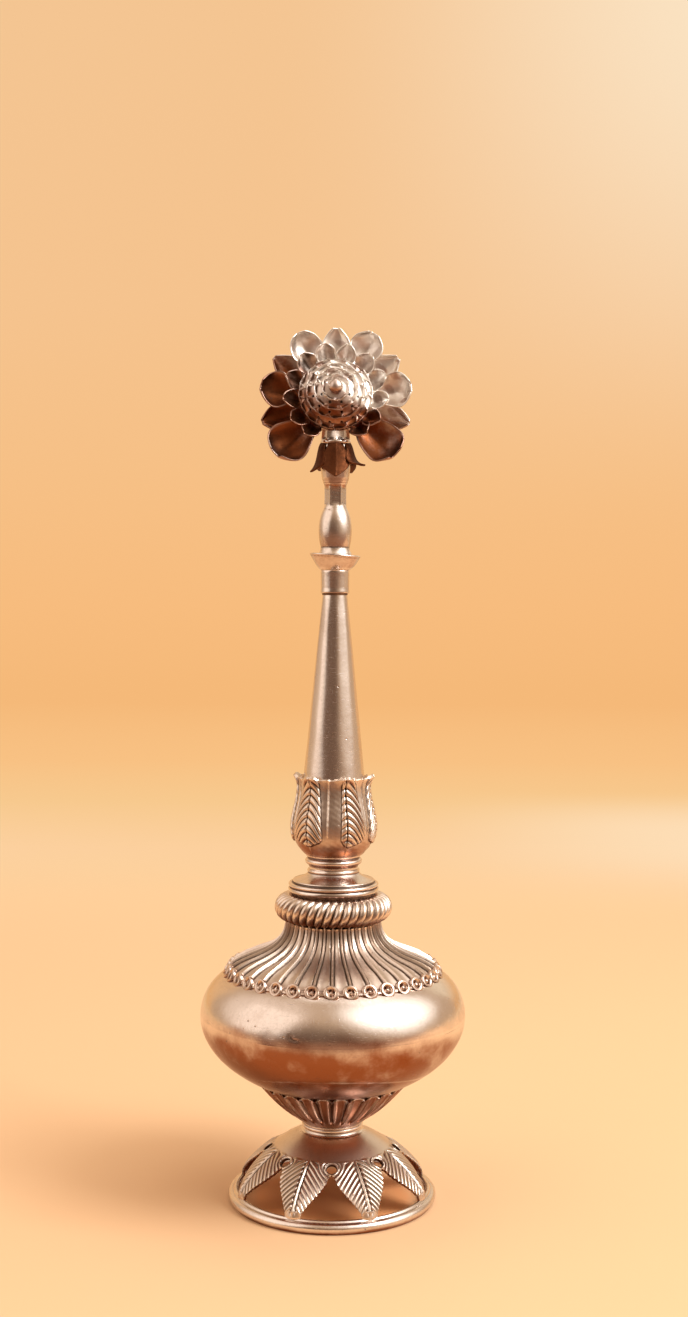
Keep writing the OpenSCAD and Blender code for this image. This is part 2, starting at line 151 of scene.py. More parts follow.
def on_screen(*parts: int) -> Colour:
    """The colour that a screen shows with these three numbers from 0 to 255."""
    return tuple((p / 255 / 12.92) if p < 11 else ((p / 255 + 0.055) / 1.055) ** 2.4 for p in parts)


class Outline:
    """A line in radius and height, in millimetres, for the lathe to turn."""

    def __init__(self, *points: Point) -> None:
        """Starts the line through these points."""
        self.points: list[Point] = [(float(r), float(z)) for r, z in points]

    def to(self, *points: Point) -> "Outline":
        """Goes on straight through these points."""
        self.points.extend((float(r), float(z)) for r, z in points)
        return self

    def curve(self, b: Point, c: Point, d: Point, n: int = 12) -> "Outline":
        """Goes on along a cubic curve.

        Args:
            b: Its first handle.
            c: Its second handle.
            d: Its end.
            n: Number of steps.

        Returns:
            The same outline.
        """
        row = cubic((self.points[-1], b, c, d), np.linspace(0, 1, n + 1)[1:])
        return self.to(*map(tuple, row))

    def arc(self, centre: Point, radius: float, start: float, stop: float, n: int = 8) -> "Outline":
        """Goes on along an arc.

        Args:
            centre: Its centre.
            radius: Its radius.
            start: Angle of its first point, in degrees.
            stop: Angle of its last point.
            n: Number of steps.

        Returns:
            The same outline.
        """
        for a in np.radians(np.linspace(start, stop, n + 1)):
            self.points.append((centre[0] + radius * math.cos(a), centre[1] + radius * math.sin(a)))
        return self

    def even(self, step: float) -> "Outline":
        """Puts more points on the line.

        Args:
            step: How far apart two points may be, in millimetres.

        Returns:
            A new outline of the same shape.
        """
        rows = [self.points[0]]
        for a, b in zip(self.points, self.points[1:]):
            n = max(1, math.ceil(math.dist(a, b) / step))
            for i in range(1, n + 1):
                rows.append((a[0] + (b[0] - a[0]) * i / n, a[1] + (b[1] - a[1]) * i / n))
        return Outline(*rows)


@dataclass
class Around:
    """Where the points of a turned piece lie, in millimetres and degrees."""

    r: Cloud
    angle: Cloud
    z: Cloud
    xyz: Cloud


# ---- modelling ----


class Bench:
    """The workbench, with each step that adds or shapes a mesh."""

    def clear(self) -> None:
        """Leaves edit mode and deselects everything."""
        if bpy.context.object and bpy.context.object.mode != "OBJECT":
            bpy.ops.object.mode_set(mode="OBJECT")
        bpy.ops.object.select_all(action="DESELECT")

    def pick(self, *pieces: Piece) -> None:
        """Selects these pieces alone, with the first one active.

        Args:
            pieces: The pieces.
        """
        self.clear()
        for piece in pieces:
            piece.select_set(True)
        bpy.context.view_layer.objects.active = pieces[0]

    def settle(self, piece: Piece, name: str) -> Piece:
        """Names a piece and puts its origin at the frame's origin with its place in its mesh.

        Args:
            piece: The piece.
            name: Its name, which its mesh gets too.

        Returns:
            The same piece.
        """
        self.pick(piece)
        bpy.ops.object.transform_apply(location=True, rotation=True, scale=True)
        piece.name = name
        piece.data.name = name
        return piece

    def lathe(self, name: str, outline: Outline, steps: int = 128, parts: int = 8) -> Piece:
        """Turns a closed outline round the upright axis.

        Args:
            name: Name of the piece.
            outline: Its section, whose last point joins its first.
            steps: Number of steps round the axis.
            parts: The outline is turned through one such part of a circle, which is then copied.

        Returns:
            The closed piece.
        """
        loop = [Vector((r * MM, 0.0, z * MM)) for r, z in [*outline.points, outline.points[0]]]
        self.clear()
        bpy.ops.mesh.primitive_plane_add(size=MM, location=loop[0])
        piece = self.settle(bpy.context.object, name)
        bpy.ops.object.mode_set(mode="EDIT")
        bpy.ops.mesh.select_all(action="SELECT")
        bpy.ops.mesh.merge(type="CENTER")
        for a, b in zip(loop, loop[1:]):
            if (b - a).length > NO_LENGTH and max(a.x, b.x) > NO_LENGTH:
                bpy.ops.mesh.extrude_region_move(TRANSFORM_OT_translate={"value": b - a})
        bpy.ops.mesh.select_all(action="SELECT")
        turn = math.tau / parts
        bpy.ops.mesh.spin(steps=steps // parts, angle=turn, center=(0, 0, 0), axis=(0, 0, 1))
        bpy.ops.object.mode_set(mode="OBJECT")
        whole = self.join(name, self.ring(piece, parts))
        self.heal()
        return whole

    def heal(self, threshold: float = SAME_PLACE) -> None:
        """Merges the doubles of the active piece and points its faces outwards.

        Args:
            threshold: Distance up to which two points become one, in metres.
        """
        bpy.ops.object.mode_set(mode="EDIT")
        bpy.ops.mesh.select_all(action="SELECT")
        bpy.ops.mesh.remove_doubles(threshold=threshold)
        bpy.ops.mesh.normals_make_consistent(inside=False)
        bpy.ops.object.mode_set(mode="OBJECT")

    def grid(self, name: str, along: int, across: int) -> Piece:
        """A flat sheet from -1 to 1 metre both ways, to be given its form by shape().

        Args:
            name: Its name.
            along: Number of faces along it.
            across: Number of faces across it.

        Returns:
            The sheet.
        """
        self.clear()
        bpy.ops.mesh.primitive_grid_add(x_subdivisions=along, y_subdivisions=across, size=2.0)
        return self.settle(bpy.context.object, name)

    def read(self, piece: Piece) -> Cloud:
        """Reads the points of a piece.

        Args:
            piece: The piece.

        Returns:
            One row for each point, in millimetres.
        """
        flat = np.empty(len(piece.data.vertices) * 3, np.float32)
        piece.data.vertices.foreach_get("co", flat)
        return flat.reshape(-1, 3).astype(float) / MM

    def write(self, piece: Piece, points: Cloud) -> None:
        """Moves the points of a piece, given in millimetres."""
        piece.data.vertices.foreach_set("co", (points * MM).astype(np.float32).ravel())
        piece.data.update()

    def around(self, piece: Piece) -> Around:
        """Reads where the points of a piece lie round the upright axis.

        Args:
            piece: The piece.

        Returns:
            Their radii, azimuths, heights and positions.
        """
        xyz = self.read(piece)
        r = np.hypot(xyz[:, 0], xyz[:, 1])
        return Around(r, np.degrees(np.arctan2(xyz[:, 1], xyz[:, 0])), xyz[:, 2], xyz)

    def normals(self, piece: Piece) -> Cloud:
        """Reads the normals at the points of a piece.

        Args:
            piece: The piece.

        Returns:
            One row for each point, of length 1.
        """
        flat = np.empty(len(piece.data.vertices) * 3, np.float32)
        piece.data.vertex_normals.foreach_get("vector", flat)
        return flat.reshape(-1, 3).astype(float)

    def shape(self, piece: Piece, form: Callable[[Cloud, Cloud], Cloud]) -> None:
        """Gives a grid its form.

        Args:
            piece: A sheet made by grid().
            form: Takes the places along (0 to 1) and across (-1 to 1), returns millimetres.
        """
        flat = self.read(piece) * MM
        self.write(piece, form((flat[:, 0] + 1) / 2, flat[:, 1]))

    def relief(
        self, piece: Piece, facing: Point, amount: Callable[[Around], Cloud]
    ) -> None:
        """Raises the face of a turned piece along its normals.

        Args:
            piece: The turned piece.
            facing: Outward and upward part of the way that the shaped face looks.
            amount: Gives the height in millimetres for each point.
        """
        at = self.around(piece)
        normal = self.normals(piece)
        out = (normal[:, 0] * at.xyz[:, 0] + normal[:, 1] * at.xyz[:, 1]) / np.maximum(at.r, 1e-6)
        face = np.clip((out * facing[0] + normal[:, 2] * facing[1]) * 4, 0, 1)
        self.write(piece, at.xyz + (amount(at) * face)[:, None] * normal)

    def crowd(self, piece: Piece, count: int, offset: float, power: float) -> None:
        """Draws the points of a turned piece together round count evenly spaced lines.

        Args:
            piece: The turned piece.
            count: Number of lines round the axis.
            offset: Azimuth of one line, in degrees.
            power: 1 leaves the points alone, more draws them closer to the lines.
        """
        at = self.around(piece)
        away = beat(at.angle, count, offset)
        closer = 0.5 * np.sign(away) * np.abs(2 * away) ** power
        turned = np.radians(at.angle + (closer - away) * 360.0 / count)
        self.write(piece, np.stack([at.r * np.cos(turned), at.r * np.sin(turned), at.z], axis=1))

    def apply(self, piece: Piece, kind: str, **settings: object) -> None:
        """Adds a modifier and applies it.

        Args:
            piece: The piece.
            kind: Type of the modifier.
            settings: Its settings.
        """
        self.pick(piece)
        modifier = piece.modifiers.new(kind.title(), kind)
        for key, value in settings.items():
            setattr(modifier, key, value)
        bpy.ops.object.modifier_apply(modifier=modifier.name)

    def thicken(self, piece: Piece, thick: float, levels: int = 0) -> None:
        """Gives a sheet its wall behind its face, and rounds it by subdivision.

        Args:
            piece: The sheet.
            thick: Thickness of the wall, in millimetres.
            levels: Levels of subdivision. Only a sheet with none gets an even wall, because an
                even wall throws a spike at a sharp corner, which subdivision then spreads.
        """
        even = levels == 0
        self.apply(piece, "SOLIDIFY", thickness=thick * MM, offset=-1.0, use_even_offset=even)
        if levels:
            self.apply(piece, "SUBSURF", levels=levels, render_levels=levels)

    def copy(self, piece: Piece, matrix: Matrix) -> Piece:
        """Copies a piece, with a mesh of its own.

        Args:
            piece: The piece.
            matrix: Where the copy goes, in metres.

        Returns:
            The copy.
        """
        twin = piece.copy()
        twin.data = piece.data.copy()
        bpy.context.scene.collection.objects.link(twin)
        twin.data.transform(matrix)
        return twin

    def ring(self, piece: Piece, count: int, start: float = 0.0) -> list[Piece]:
        """Copies a piece evenly round the upright axis.

        Args:
            piece: The piece, which lies along +X.
            count: How many there are in the end.
            start: Azimuth of the first one, in degrees.

        Returns:
            The piece itself and its copies.
        """
        angles = (math.radians(start + 360 * i / count) for i in range(count))
        turns = [Matrix.Rotation(angle, 4, "Z") for angle in angles]
        copies = [self.copy(piece, turn) for turn in turns[1:]]
        piece.data.transform(turns[0])
        return [piece, *copies]

    def join(self, name: str, pieces: Sequence[Piece]) -> Piece:
        """Joins pieces into one, which is left active.

        Args:
            name: Name of the joined piece.
            pieces: The pieces, of which the first is kept.

        Returns:
            The joined piece.
        """
        self.pick(*pieces)
        if len(pieces) > 1:
            bpy.ops.object.join()
        return self.settle(bpy.context.view_layer.objects.active, name)

    def cut(self, piece: Piece, tool: Piece, solid: Solid = Solid.CUT) -> None:
        """Cuts a piece with a tool, or joins them as one solid, and removes the tool."""
        self.apply(piece, "BOOLEAN", operation=solid.value, solver="EXACT", object=tool)
        bpy.data.objects.remove(tool)

    def rod(
        self, name: str, radius: float, length: float, matrix: Matrix, sides: int
    ) -> Piece:
        """A plain rod, to drill with or to add.

        Args:
            name: Its name.
            radius: Its radius, in millimetres.
            length: Its length, in millimetres.
            matrix: Where its middle goes, in metres.
            sides: Number of its sides.

        Returns:
            The rod.
        """
        self.clear()
        bpy.ops.mesh.primitive_cylinder_add(vertices=sides, radius=radius * MM, depth=length * MM)
        piece = self.settle(bpy.context.object, name)
        piece.data.transform(matrix)
        return piece

    def mark_hollows(self, piece: Piece, reach: float, deep: float) -> None:
        """Stores how deep each point lies below the smoothed surface, for the finish to read.

        Args:
            piece: The finished piece.
            reach: How far the smoothing reaches, in millimetres.
            deep: Depth at which a point counts as fully hollow.
        """
        mesh = piece.data
        points = self.read(piece)
        ends = np.empty(len(mesh.edges) * 2, np.int32)
        mesh.edges.foreach_get("vertices", ends)
        i, j = ends.reshape(-1, 2).T
        n = len(points)
        degree = np.maximum(np.bincount(i, minlength=n) + np.bincount(j, minlength=n), 1)
        spacing = float(np.median(np.linalg.norm(points[i] - points[j], axis=1)))
        soft = points.copy()
        rounds = int(np.clip(1.5 * (reach / max(spacing, 0.02)) ** 2, 2, 48))
        for _ in range(rounds):
            total = np.stack(
                [np.bincount(i, soft[j, k], n) + np.bincount(j, soft[i, k], n) for k in range(3)], axis=1
            )
            soft = 0.4 * soft + 0.6 * total / degree[:, None]
        depth = ((soft - points) * self.normals(piece)).sum(axis=1)
        self.store(piece, "hollow", np.clip(0.5 + 0.5 * depth / deep, 0, 1))

    def store(self, piece: Piece, name: str, values: Cloud) -> None:
        """Stores one number for each point, for the finish to read.

        Args:
            piece: The piece.
            name: Name of the numbers.
            values: The numbers.
        """
        mesh = piece.data
        layer = mesh.attributes.get(name) or mesh.attributes.new(name, "FLOAT", "POINT")
        layer.data.foreach_set("value", values.astype(np.float32))

    def store_more(self, piece: Piece, name: str, values: Cloud | float) -> None:
        """Stores the greater of the stored numbers and these."""
        self.store(piece, name, np.maximum(self.stored(piece, name), values))

    def stored(self, piece: Piece, name: str) -> Cloud:
        """Reads the numbers that were stored for the points.

        Args:
            piece: The piece.
            name: Name of the numbers.

        Returns:
            One number for each point.
        """
        values = np.empty(len(piece.data.vertices), np.float32)
        piece.data.attributes[name].data.foreach_get("value", values)
        return values.astype(float)


# ---- finishes ----


class Shade:
    """An output socket of a finish, with the sums that are written on it."""

    def __init__(self, sketch: "Sketch", socket: bpy.types.NodeSocket | None) -> None:
        """Wraps a socket of a sketch, or none where a node ends it."""
        self.sketch = sketch
        self.socket = socket

    def sum(self, operation: str, first: "Shade | float", second: "Shade | float") -> "Shade":
        """Adds one Math node."""
        return self.sketch.node("ShaderNodeMath", {"operation": operation}, {0: first, 1: second})

    def __add__(self, other: "Shade | float") -> "Shade":
        """Adds."""
        return self.sum("ADD", self, other)

    def __radd__(self, other: float) -> "Shade":
        """Adds to a number."""
        return self.sum("ADD", other, self)

    def __sub__(self, other: "Shade | float") -> "Shade":
        """Subtracts."""
        return self.sum("SUBTRACT", self, other)

    def __rsub__(self, other: float) -> "Shade":
        """Subtracts from a number."""
        return self.sum("SUBTRACT", other, self)

    def __mul__(self, other: "Shade | float") -> "Shade":
        """Multiplies."""
        return self.sum("MULTIPLY", self, other)

    def __rmul__(self, other: float) -> "Shade":
        """Multiplies a number."""
        return self.sum("MULTIPLY", other, self)


class Sketch:
    """A node tree under construction."""

    def __init__(self, tree: bpy.types.NodeTree) -> None:
        """Starts with an empty tree."""
        self.tree = tree
        tree.nodes.clear()

    def node(
        self,
        kind: str,
        settings: dict[str, object] | None = None,
        sockets: dict[int | str, object] | None = None,
        output: int | str = 0,
    ) -> Shade:
        """Adds one node.

        Args:
            kind: Its type.
            settings: Its own settings, and "stops" for a ramp, which are set first.
            sockets: Values or shades for its inputs.
            output: Which output is wanted.

        Returns:
            That output.
        """
        made = self.tree.nodes.new(kind)
        for key, value in (settings or {}).items():
            if key == "stops":
                self.stops(made.color_ramp, value)
            else:
                setattr(made, key, value)
        for key, value in (sockets or {}).items():
            if isinstance(value, Shade):
                self.tree.links.new(value.socket, made.inputs[key])
            else:
                made.inputs[key].default_value = value
        return Shade(self, made.outputs[output] if made.outputs else None)

    def stops(self, ramp: bpy.types.ColorRamp, stops: Sequence[tuple[float, Colour]]) -> None:
        """Sets the stops of a colour ramp.

        Args:
            ramp: The ramp.
            stops: Positions from 0 to 1 with their colours.
        """
        while len(ramp.elements) < len(stops):
            ramp.elements.new(1.0)
        for element, (position, colour) in zip(ramp.elements, stops):
            element.position = position
            element.color = (*colour, 1.0)

    def place(self) -> Shade:
        """The place on the object, in millimetres."""
        coordinates = self.node("ShaderNodeTexCoord", output="Object")
        scaled = {0: coordinates, "Scale": 1.0 / MM}
        return self.node("ShaderNodeVectorMath", {"operation": "SCALE"}, scaled)

    def stored(self, name: str) -> Shade:
        """A number stored on the points of the piece."""
        return self.node("ShaderNodeAttribute", {"attribute_name": name}, output="Fac")

    def stretched(self, place: Shade, scale: Colour, turn: Colour) -> Shade:
        """Places stretched, and turned by these angles in radians."""
        sockets = {"Vector": place, "Scale": scale, "Rotation": turn}
        return self.node("ShaderNodeMapping", {}, sockets)

    def noise(self, place: Shade, scale: float, detail: float = 3.0, rough: float = 0.55) -> Shade:
        """Cloudy noise from 0 to 1 with this many waves per millimetre."""
        sockets = {"Vector": place, "Scale": scale, "Detail": detail, "Roughness": rough}
        return self.node("ShaderNodeTexNoise", {}, sockets)

    def ramp(self, value: Shade, *stops: tuple[float, Colour]) -> Shade:
        """A colour that goes through these stops."""
        return self.node("ShaderNodeValToRGB", {"stops": stops}, {0: value})

    def between(self, value: Shade, low: float, high: float) -> Shade:
        """Goes smoothly from 0 at low to 1 at high."""
        sockets = {0: value, 1: low, 2: high, 3: 0.0, 4: 1.0}
        return self.node("ShaderNodeMapRange", {"interpolation_type": "SMOOTHSTEP"}, sockets)

    def blend(self, factor: Shade, a: Shade | Colour, b: Shade | Colour) -> Shade:
        """Goes from colour a to colour b as the factor goes from 0 to 1."""
        first, second = (c if isinstance(c, Shade) else (*c, 1.0) for c in (a, b))
        return self.node("ShaderNodeMix", {"data_type": "RGBA"}, {0: factor, 6: first, 7: second}, 2)

    def bump(self, height: Shade) -> Shade:
        """A normal from a height in millimetres."""
        return self.node("ShaderNodeBump", {}, {"Strength": 1.0, "Distance": MM, "Height": height})

    def surface(self, **sockets: object) -> None:
        """Ends the sketch with one surface shader.

        Args:
            sockets: Its inputs, with underscores for the spaces in their names.
        """
        values = {key.replace("_", " "): value for key, value in sockets.items()}
        shader = self.node("ShaderNodeBsdfPrincipled", {}, values)
        self.node("ShaderNodeOutputMaterial", {}, {"Surface": shader})


@dataclass(frozen=True)
class SilverFinish:
    """Old silver: soft polish, fine scratches, pits, and tarnish that stays in the hollows.

    It reads four numbers that are stored on the points of a piece: "hollow", how deep a point
    lies, raised in places as painted shade and lowered in places as painted light; "patina_and_shade",
    how brown it has turned, partly as tarnish and partly as painted shade; "barb", the count of chased
    barbs up to it; and
    "leaf", how much of it is chased. Raised points turn lighter, partly as wear and partly as a painted
    highlight.
    """

    name: str
    tone: Colour
    stain: Colour
    hollows: float
    patches: float
    rough: float
    scratches: float
    dimples: float
    barb_rise: float = 0.34
    brown_tone: Colour = (0.27, 0.088, 0.032)
    soot_tone: Colour = (0.075, 0.026, 0.012)

    def build(self) -> bpy.types.Material:
        """Makes the material.

        Returns:
            The material.
        """
        material = bpy.data.materials.new(self.name)
        material.use_nodes = True
        sketch = Sketch(material.node_tree)
        place = sketch.place()
        cloud = sketch.noise(place, 0.085, 4.0, 0.6)
        grain = sketch.noise(place, 1.1, 4.0, 0.65)
        across = sketch.noise(sketch.stretched(place, (0.35, 0.35, 7.0), (0.35, 0.2, 0.0)), 0.9, 2.0)
        slanted = sketch.noise(sketch.stretched(place, (5.0, 0.4, 0.5), (0.4, 0.7, 0.5)), 0.8, 2.0)
        scratch = sketch.between(across, 0.64, 0.74) + sketch.between(slanted, 0.66, 0.76)
        cells = sketch.node("ShaderNodeTexVoronoi", {}, {"Vector": place, "Scale": 0.3})
        pit = (1.0 - sketch.between(cells, 0.05, 0.11)) * sketch.between(cloud, 0.5, 0.62)
        wave = sketch.node("ShaderNodeMath", {"operation": "SINE"}, {0: sketch.stored("barb") * math.pi})
        barb = sketch.node("ShaderNodeMath", {"operation": "ABSOLUTE"}, {0: wave})
        leaf = sketch.stored("leaf")
        hollow = sketch.stored("hollow")
        sunk = sketch.between(hollow + (grain - 0.5) * 0.2, 0.54, 0.92)
        dark = (sunk + sketch.between(barb, 0.5, 0.12) * leaf * 0.9) * self.hollows
        # Tarnish and painted shade stored on the points turn the silver brown.
        patina_and_shade = sketch.stored("patina_and_shade") * (cloud * 1.6 + 0.2)
        brown = sketch.between(patina_and_shade + (grain - 0.5) * 0.15, 0.05, 0.85)
        patchy = sketch.between(cloud + (grain - 0.5) * 0.4, 0.4, 0.8) * self.patches
        bright = sketch.between(hollow, 0.46, 0.1)
        colour = sketch.blend(patchy, self.tone, self.stain)
        colour = sketch.blend(brown, colour, self.brown_tone)
        sooty = sketch.blend(brown, tuple(0.3 * c for c in self.stain), self.soot_tone)
        colour = sketch.blend(dark, colour, sooty)
        dirt = tuple(0.4 * c for c in self.stain)
        colour = sketch.blend(pit * 0.7 + scratch * 0.22, colour, dirt)
        # Raised points turn lighter than the bare silver: partly worn bright, partly a painted
        # highlight.
        rubbed_and_painted_highlight = bright * (0.5 - brown * 0.38)
        colour = sketch.blend(rubbed_and_painted_highlight, colour, tuple(min(1.0, 1.15 * c) for c in self.tone))
        rough = self.rough + (grain - 0.5) * 0.12 + patchy * 0.12 + dark * 0.2 - bright * 0.05
        height = (
            cloud * (3.2 * self.dimples)
            + grain * (0.03 * self.dimples)
            + barb * leaf * self.barb_rise
            - scratch * (0.008 * self.scratches)
            - pit * 0.1
        )
        sketch.surface(
            Base_Color=colour,
            Metallic=1.0,
            Roughness=rough + scratch * 0.05,
            Normal=sketch.bump(height),
        )
        return material


@dataclass(frozen=True)
class LeatherFinish:
    """Oiled leather washer, darker in clouds and pores."""

    name: str
    tone: Colour
    dark: Colour

    def build(self) -> bpy.types.Material:
        """Makes the material.

        Returns:
            The material.
        """
        material = bpy.data.materials.new(self.name)
        material.use_nodes = True
        sketch = Sketch(material.node_tree)
        place = sketch.place()
        pores = {"Vector": place, "Scale": 2.6}
        cells = sketch.node("ShaderNodeTexVoronoi", {"feature": "SMOOTH_F1"}, pores)
        cloud = sketch.noise(place, 0.5, 4.0)
        colour = sketch.blend(sketch.between(cloud + cells * 0.4, 0.4, 0.9), self.tone, self.dark)
        sketch.surface(
            Base_Color=colour,
            Roughness=0.55 + cloud * 0.2,
            Normal=sketch.bump(cells * 0.08 + cloud * 0.04),
        )
        return material


class Palette:
    """The finishes of the object, one for each material slot."""

    def __init__(self) -> None:
        """Builds every finish once."""
        stain = (0.40, 0.27, 0.20)
        finishes = {
            Slot.PLAIN: SilverFinish(
                "old_silver_plain", tone=(0.80, 0.72, 0.665), stain=stain, hollows=0.9,
                patches=0.3, rough=0.23, scratches=1.0, dimples=0.04,
            ),
            Slot.CHASED: SilverFinish(
                "old_silver_chased", tone=(0.72, 0.62, 0.545), stain=stain, hollows=1.0,
                patches=0.4, rough=0.3, scratches=0.6, dimples=0.02,
            ),
            Slot.FLOWER: SilverFinish(
                "old_silver_flower", tone=(0.93, 0.88, 0.83), stain=stain, hollows=1.0,
                patches=0.35, rough=0.37, scratches=0.5, dimples=0.02,
            ),
            Slot.THREAD: SilverFinish(
                "old_silver_thread", tone=(0.74, 0.66, 0.62), stain=stain, hollows=0.9,
                patches=0.35, rough=0.34, scratches=0.8, dimples=0.02,
            ),
            Slot.LEATHER: LeatherFinish(
                "oiled_leather", tone=(0.30, 0.17, 0.09), dark=(0.10, 0.05, 0.03)
            ),
        }
        self.materials = {slot: finish.build() for slot, finish in finishes.items()}


@dataclass
class Workshop:
    """What every sub-assembly needs: the bench and the palette."""

    bench: Bench
    palette: Palette

    def hand_over(
        self, piece: Piece, node: str, body: Body, slot: Slot,
        angle: float = 40.0, reach: float = 0.9, deep: float = 0.12, underside_tarnish_and_shade: float = 0.8,
    ) -> Piece:
        """Finishes a piece and hangs it in the frame.

        Args:
            piece: The modelled piece.
            node: The node that it stands for.
            body: The body that carries it.
            slot: The slot of its finish.
            angle: Edges sharper than this many degrees stay crisp.
            reach: How far the search for hollows reaches, in millimetres.
            deep: Depth of a full hollow.
            underside_tarnish_and_shade: How brown its underside turns, from 0 to 1, partly as tarnish
                and partly as painted shade.

        Returns:
            The same piece.
        """
        self.bench.settle(piece, node + ("_leather" if slot is Slot.LEATHER else "_silver"))
        bpy.ops.object.shade_smooth_by_angle(angle=math.radians(angle))
        self.bench.mark_hollows(piece, reach, deep)
        # Painted shade, partly tarnish: faces that look down turn brown.
        under = ease(-self.bench.normals(piece)[:, 2], -0.2, 0.8)
        self.bench.store(piece, "patina_and_shade", underside_tarnish_and_shade * under)
        piece.data.materials.clear()
        piece.data.materials.append(self.palette.materials[slot])
        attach(piece, body.value)
        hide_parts(node)
        triangles = sum(len(face.vertices) - 2 for face in piece.data.polygons)
        LOG.info("%s rides on %s, %d triangles", piece.name, body.value, triangles)
        return piece


# ---- sub-assemblies ----


@dataclass
class Foot:
    """The rolled base ring, the pierced dome with its leaf legs, and the collar."""

    shop: Workshop
    legs: int = 8
    sheet: float = 1.0
    hole_r: float = 20.5
    hole_z: float = 16.0
    hole_d: float = 3.3
    hole_lean: float = 38.0
    barb_pitch: float = 1.38
    barb_slope: float = 1.05
    leaf_top_r: float = 18.5

    def build(self) -> None:
        """Makes the three pieces."""
        self.base_ring()
        self.dome()
        self.collar()

    def base_ring(self) -> None:
        """The ring: a thick outer roll, a groove and a thin inner lip."""
        section = (
            Outline((29.9, 0.0), (32.5, 0.0))
            .arc((31.8, 1.7), 1.7, -62, 62, 12)
            .to((32.25, 3.3), (31.95, 3.28), (31.7, 3.45))
            .arc((31.0, 3.4), 0.6, 15, 165, 8)
            .to((29.95, 3.4), (29.55, 2.6), (29.5, 0.7))
        )
        piece = self.shop.bench.lathe("base_ring", section, 224)
        self.shop.bench.relief(
            piece, (0.8, 0.6), lambda at: 0.06 * wobble(at.xyz, 17.0, 0.4) - 0.06
        )
        self.shop.hand_over(piece, "base_ring", Body.VESSEL, Slot.PLAIN)

    def dome_line(self) -> Cloud:
        """Draws the dome's outer face.

        Returns:
            Rows of radius and height, from its flat top down to the ring.
        """
        rows = Outline((6.0, 22.2), (9.4, 22.2)).curve((10.2, 22.2), (10.7, 21.9), (11.2, 21.6), 5)
        rows.curve((17.5, 19.1), (27.4, 11.4), (30.9, 5.6), 40).to((31.3, 4.0), (31.2, 3.3))
        return np.array(rows.points)

    def lengths(self) -> Cloud:
        """Way along the dome's line to each of its points."""
        line = self.dome_line()
        return np.concatenate([[0.0], np.cumsum(np.linalg.norm(np.diff(line, axis=0), axis=1))])

    def leg_half_angle(self, r: Cloud) -> Cloud:
        """Finds how wide a leg is.

        Args:
            r: Radii in millimetres.

        Returns:
            Half the angle that it spans at each, in degrees.
        """
        side = cubic(((22.9, 1.0), (25.5, 1.8), (28.0, 5.6), (31.2, 12.5)), np.linspace(0, 1, 60))
        radius = np.concatenate([[22.3, 22.5], np.hypot(side[:, 0], side[:, 1])])
        gap = np.concatenate([[0.0, 1.2], np.degrees(np.arctan2(side[:, 1], side[:, 0]))])
        return 180.0 / self.legs - np.interp(r, radius, gap, left=0.0)

    def chasing(self, s: Cloud, r: Cloud, side: Cloud) -> tuple[Cloud, Cloud]:
        """The chased barbs, which run down and out from the midrib and bend round the holes.

        Args:
            s: Way down the dome's line.
            r: Radius.
            side: Way from the leg's midrib.

        Returns:
            The count of barbs up to each point, and how much of a leaf it is on.
        """
        line, length = self.dome_line(), self.lengths()
        half = math.radians(180.0 / self.legs)
        steep = math.hypot(1.0, self.barb_slope)
        hole_s = float(np.interp(self.hole_r, line[:, 0], length))
        to_edge = half * r - np.abs(side)
        to_hole = np.hypot(s - hole_s, to_edge)
        feather = (s - self.barb_slope * np.abs(side)) / steep
        meet = (hole_s + self.barb_slope * (4.0 - half * self.hole_r)) / steep - 4.0
        near = 1.0 - ease(to_hole, 2.6, 6.2)
        count = (feather * (1 - near) + (meet + to_hole) * near) / self.barb_pitch
        tips = np.abs(np.sin(np.pi * count))
        top_s = float(np.interp(self.leaf_top_r, line[:, 0], length)) + 0.5 * (1 - tips)
        leaf = ease(s, top_s - 0.25, top_s + 0.25) * ease(to_hole, 1.9, 2.3)
        leaf *= 1.0 - ease(s, length[-1] - 2.2, length[-1] - 1.2)
        leaf *= ease(np.abs(side), 0.35, 0.6)
        return count, leaf

    def leaf(self, along: Cloud, across: Cloud) -> Cloud:
        """One eighth of the dome with its leaf leg.

        Args:
            along: From 0 at the flat top to 1 at the ring.
            across: From -1 to 1 between its two edges.

        Returns:
            Points in millimetres, the leg lying along +X.
        """
        line, length = self.dome_line(), self.lengths()
        s = length[-1] * (0.5 * along + 0.5 * along**0.62)
        r = np.interp(s, length, line[:, 0])
        z = np.interp(s, length, line[:, 1])
        slope = np.stack([np.gradient(line[:, 0], length), np.gradient(line[:, 1], length)])
        out_r = -np.interp(s, length, slope[1])
        out_z = np.interp(s, length, slope[0])
        across = np.sign(across) * np.abs(across) ** 1.3
        side = across * np.radians(self.leg_half_angle(r)) * r
        count, _ = self.chasing(s, r, side)
        hole_s = float(np.interp(self.hole_r, line[:, 0], length))
        to_hole = np.hypot(s - hole_s, np.radians(180.0 / self.legs) * r - np.abs(side))
        low = 1.0 - ease(s, length[-1] - 2.6, length[-1] - 1.2)
        top = ease(s, float(np.interp(self.leaf_top_r, line[:, 0], length)) - 0.5, hole_s + 1.0)
        rise = top * (0.55 * (1 - across**2) - 0.12)
        rise += top * low * (0.25 * ridge(side, 0.3) - 0.3 * ridge(np.abs(side) - 0.62, 0.26))
        rise += 0.22 * ridge(to_hole - 2.0, 0.3) * ease(s, hole_s - 3.0, hole_s - 1.0)
        barb = np.abs(np.sin(np.pi * count))
        tooth = 0.36 * (barb - 0.6) * ease(r, 23.2, 24.4) * low * np.abs(across) ** 6
        turn = (side + np.sign(across) * tooth) / r
        r = r + out_r * rise
        return np.stack([r * np.cos(turn), r * np.sin(turn), z + out_z * rise], axis=1)

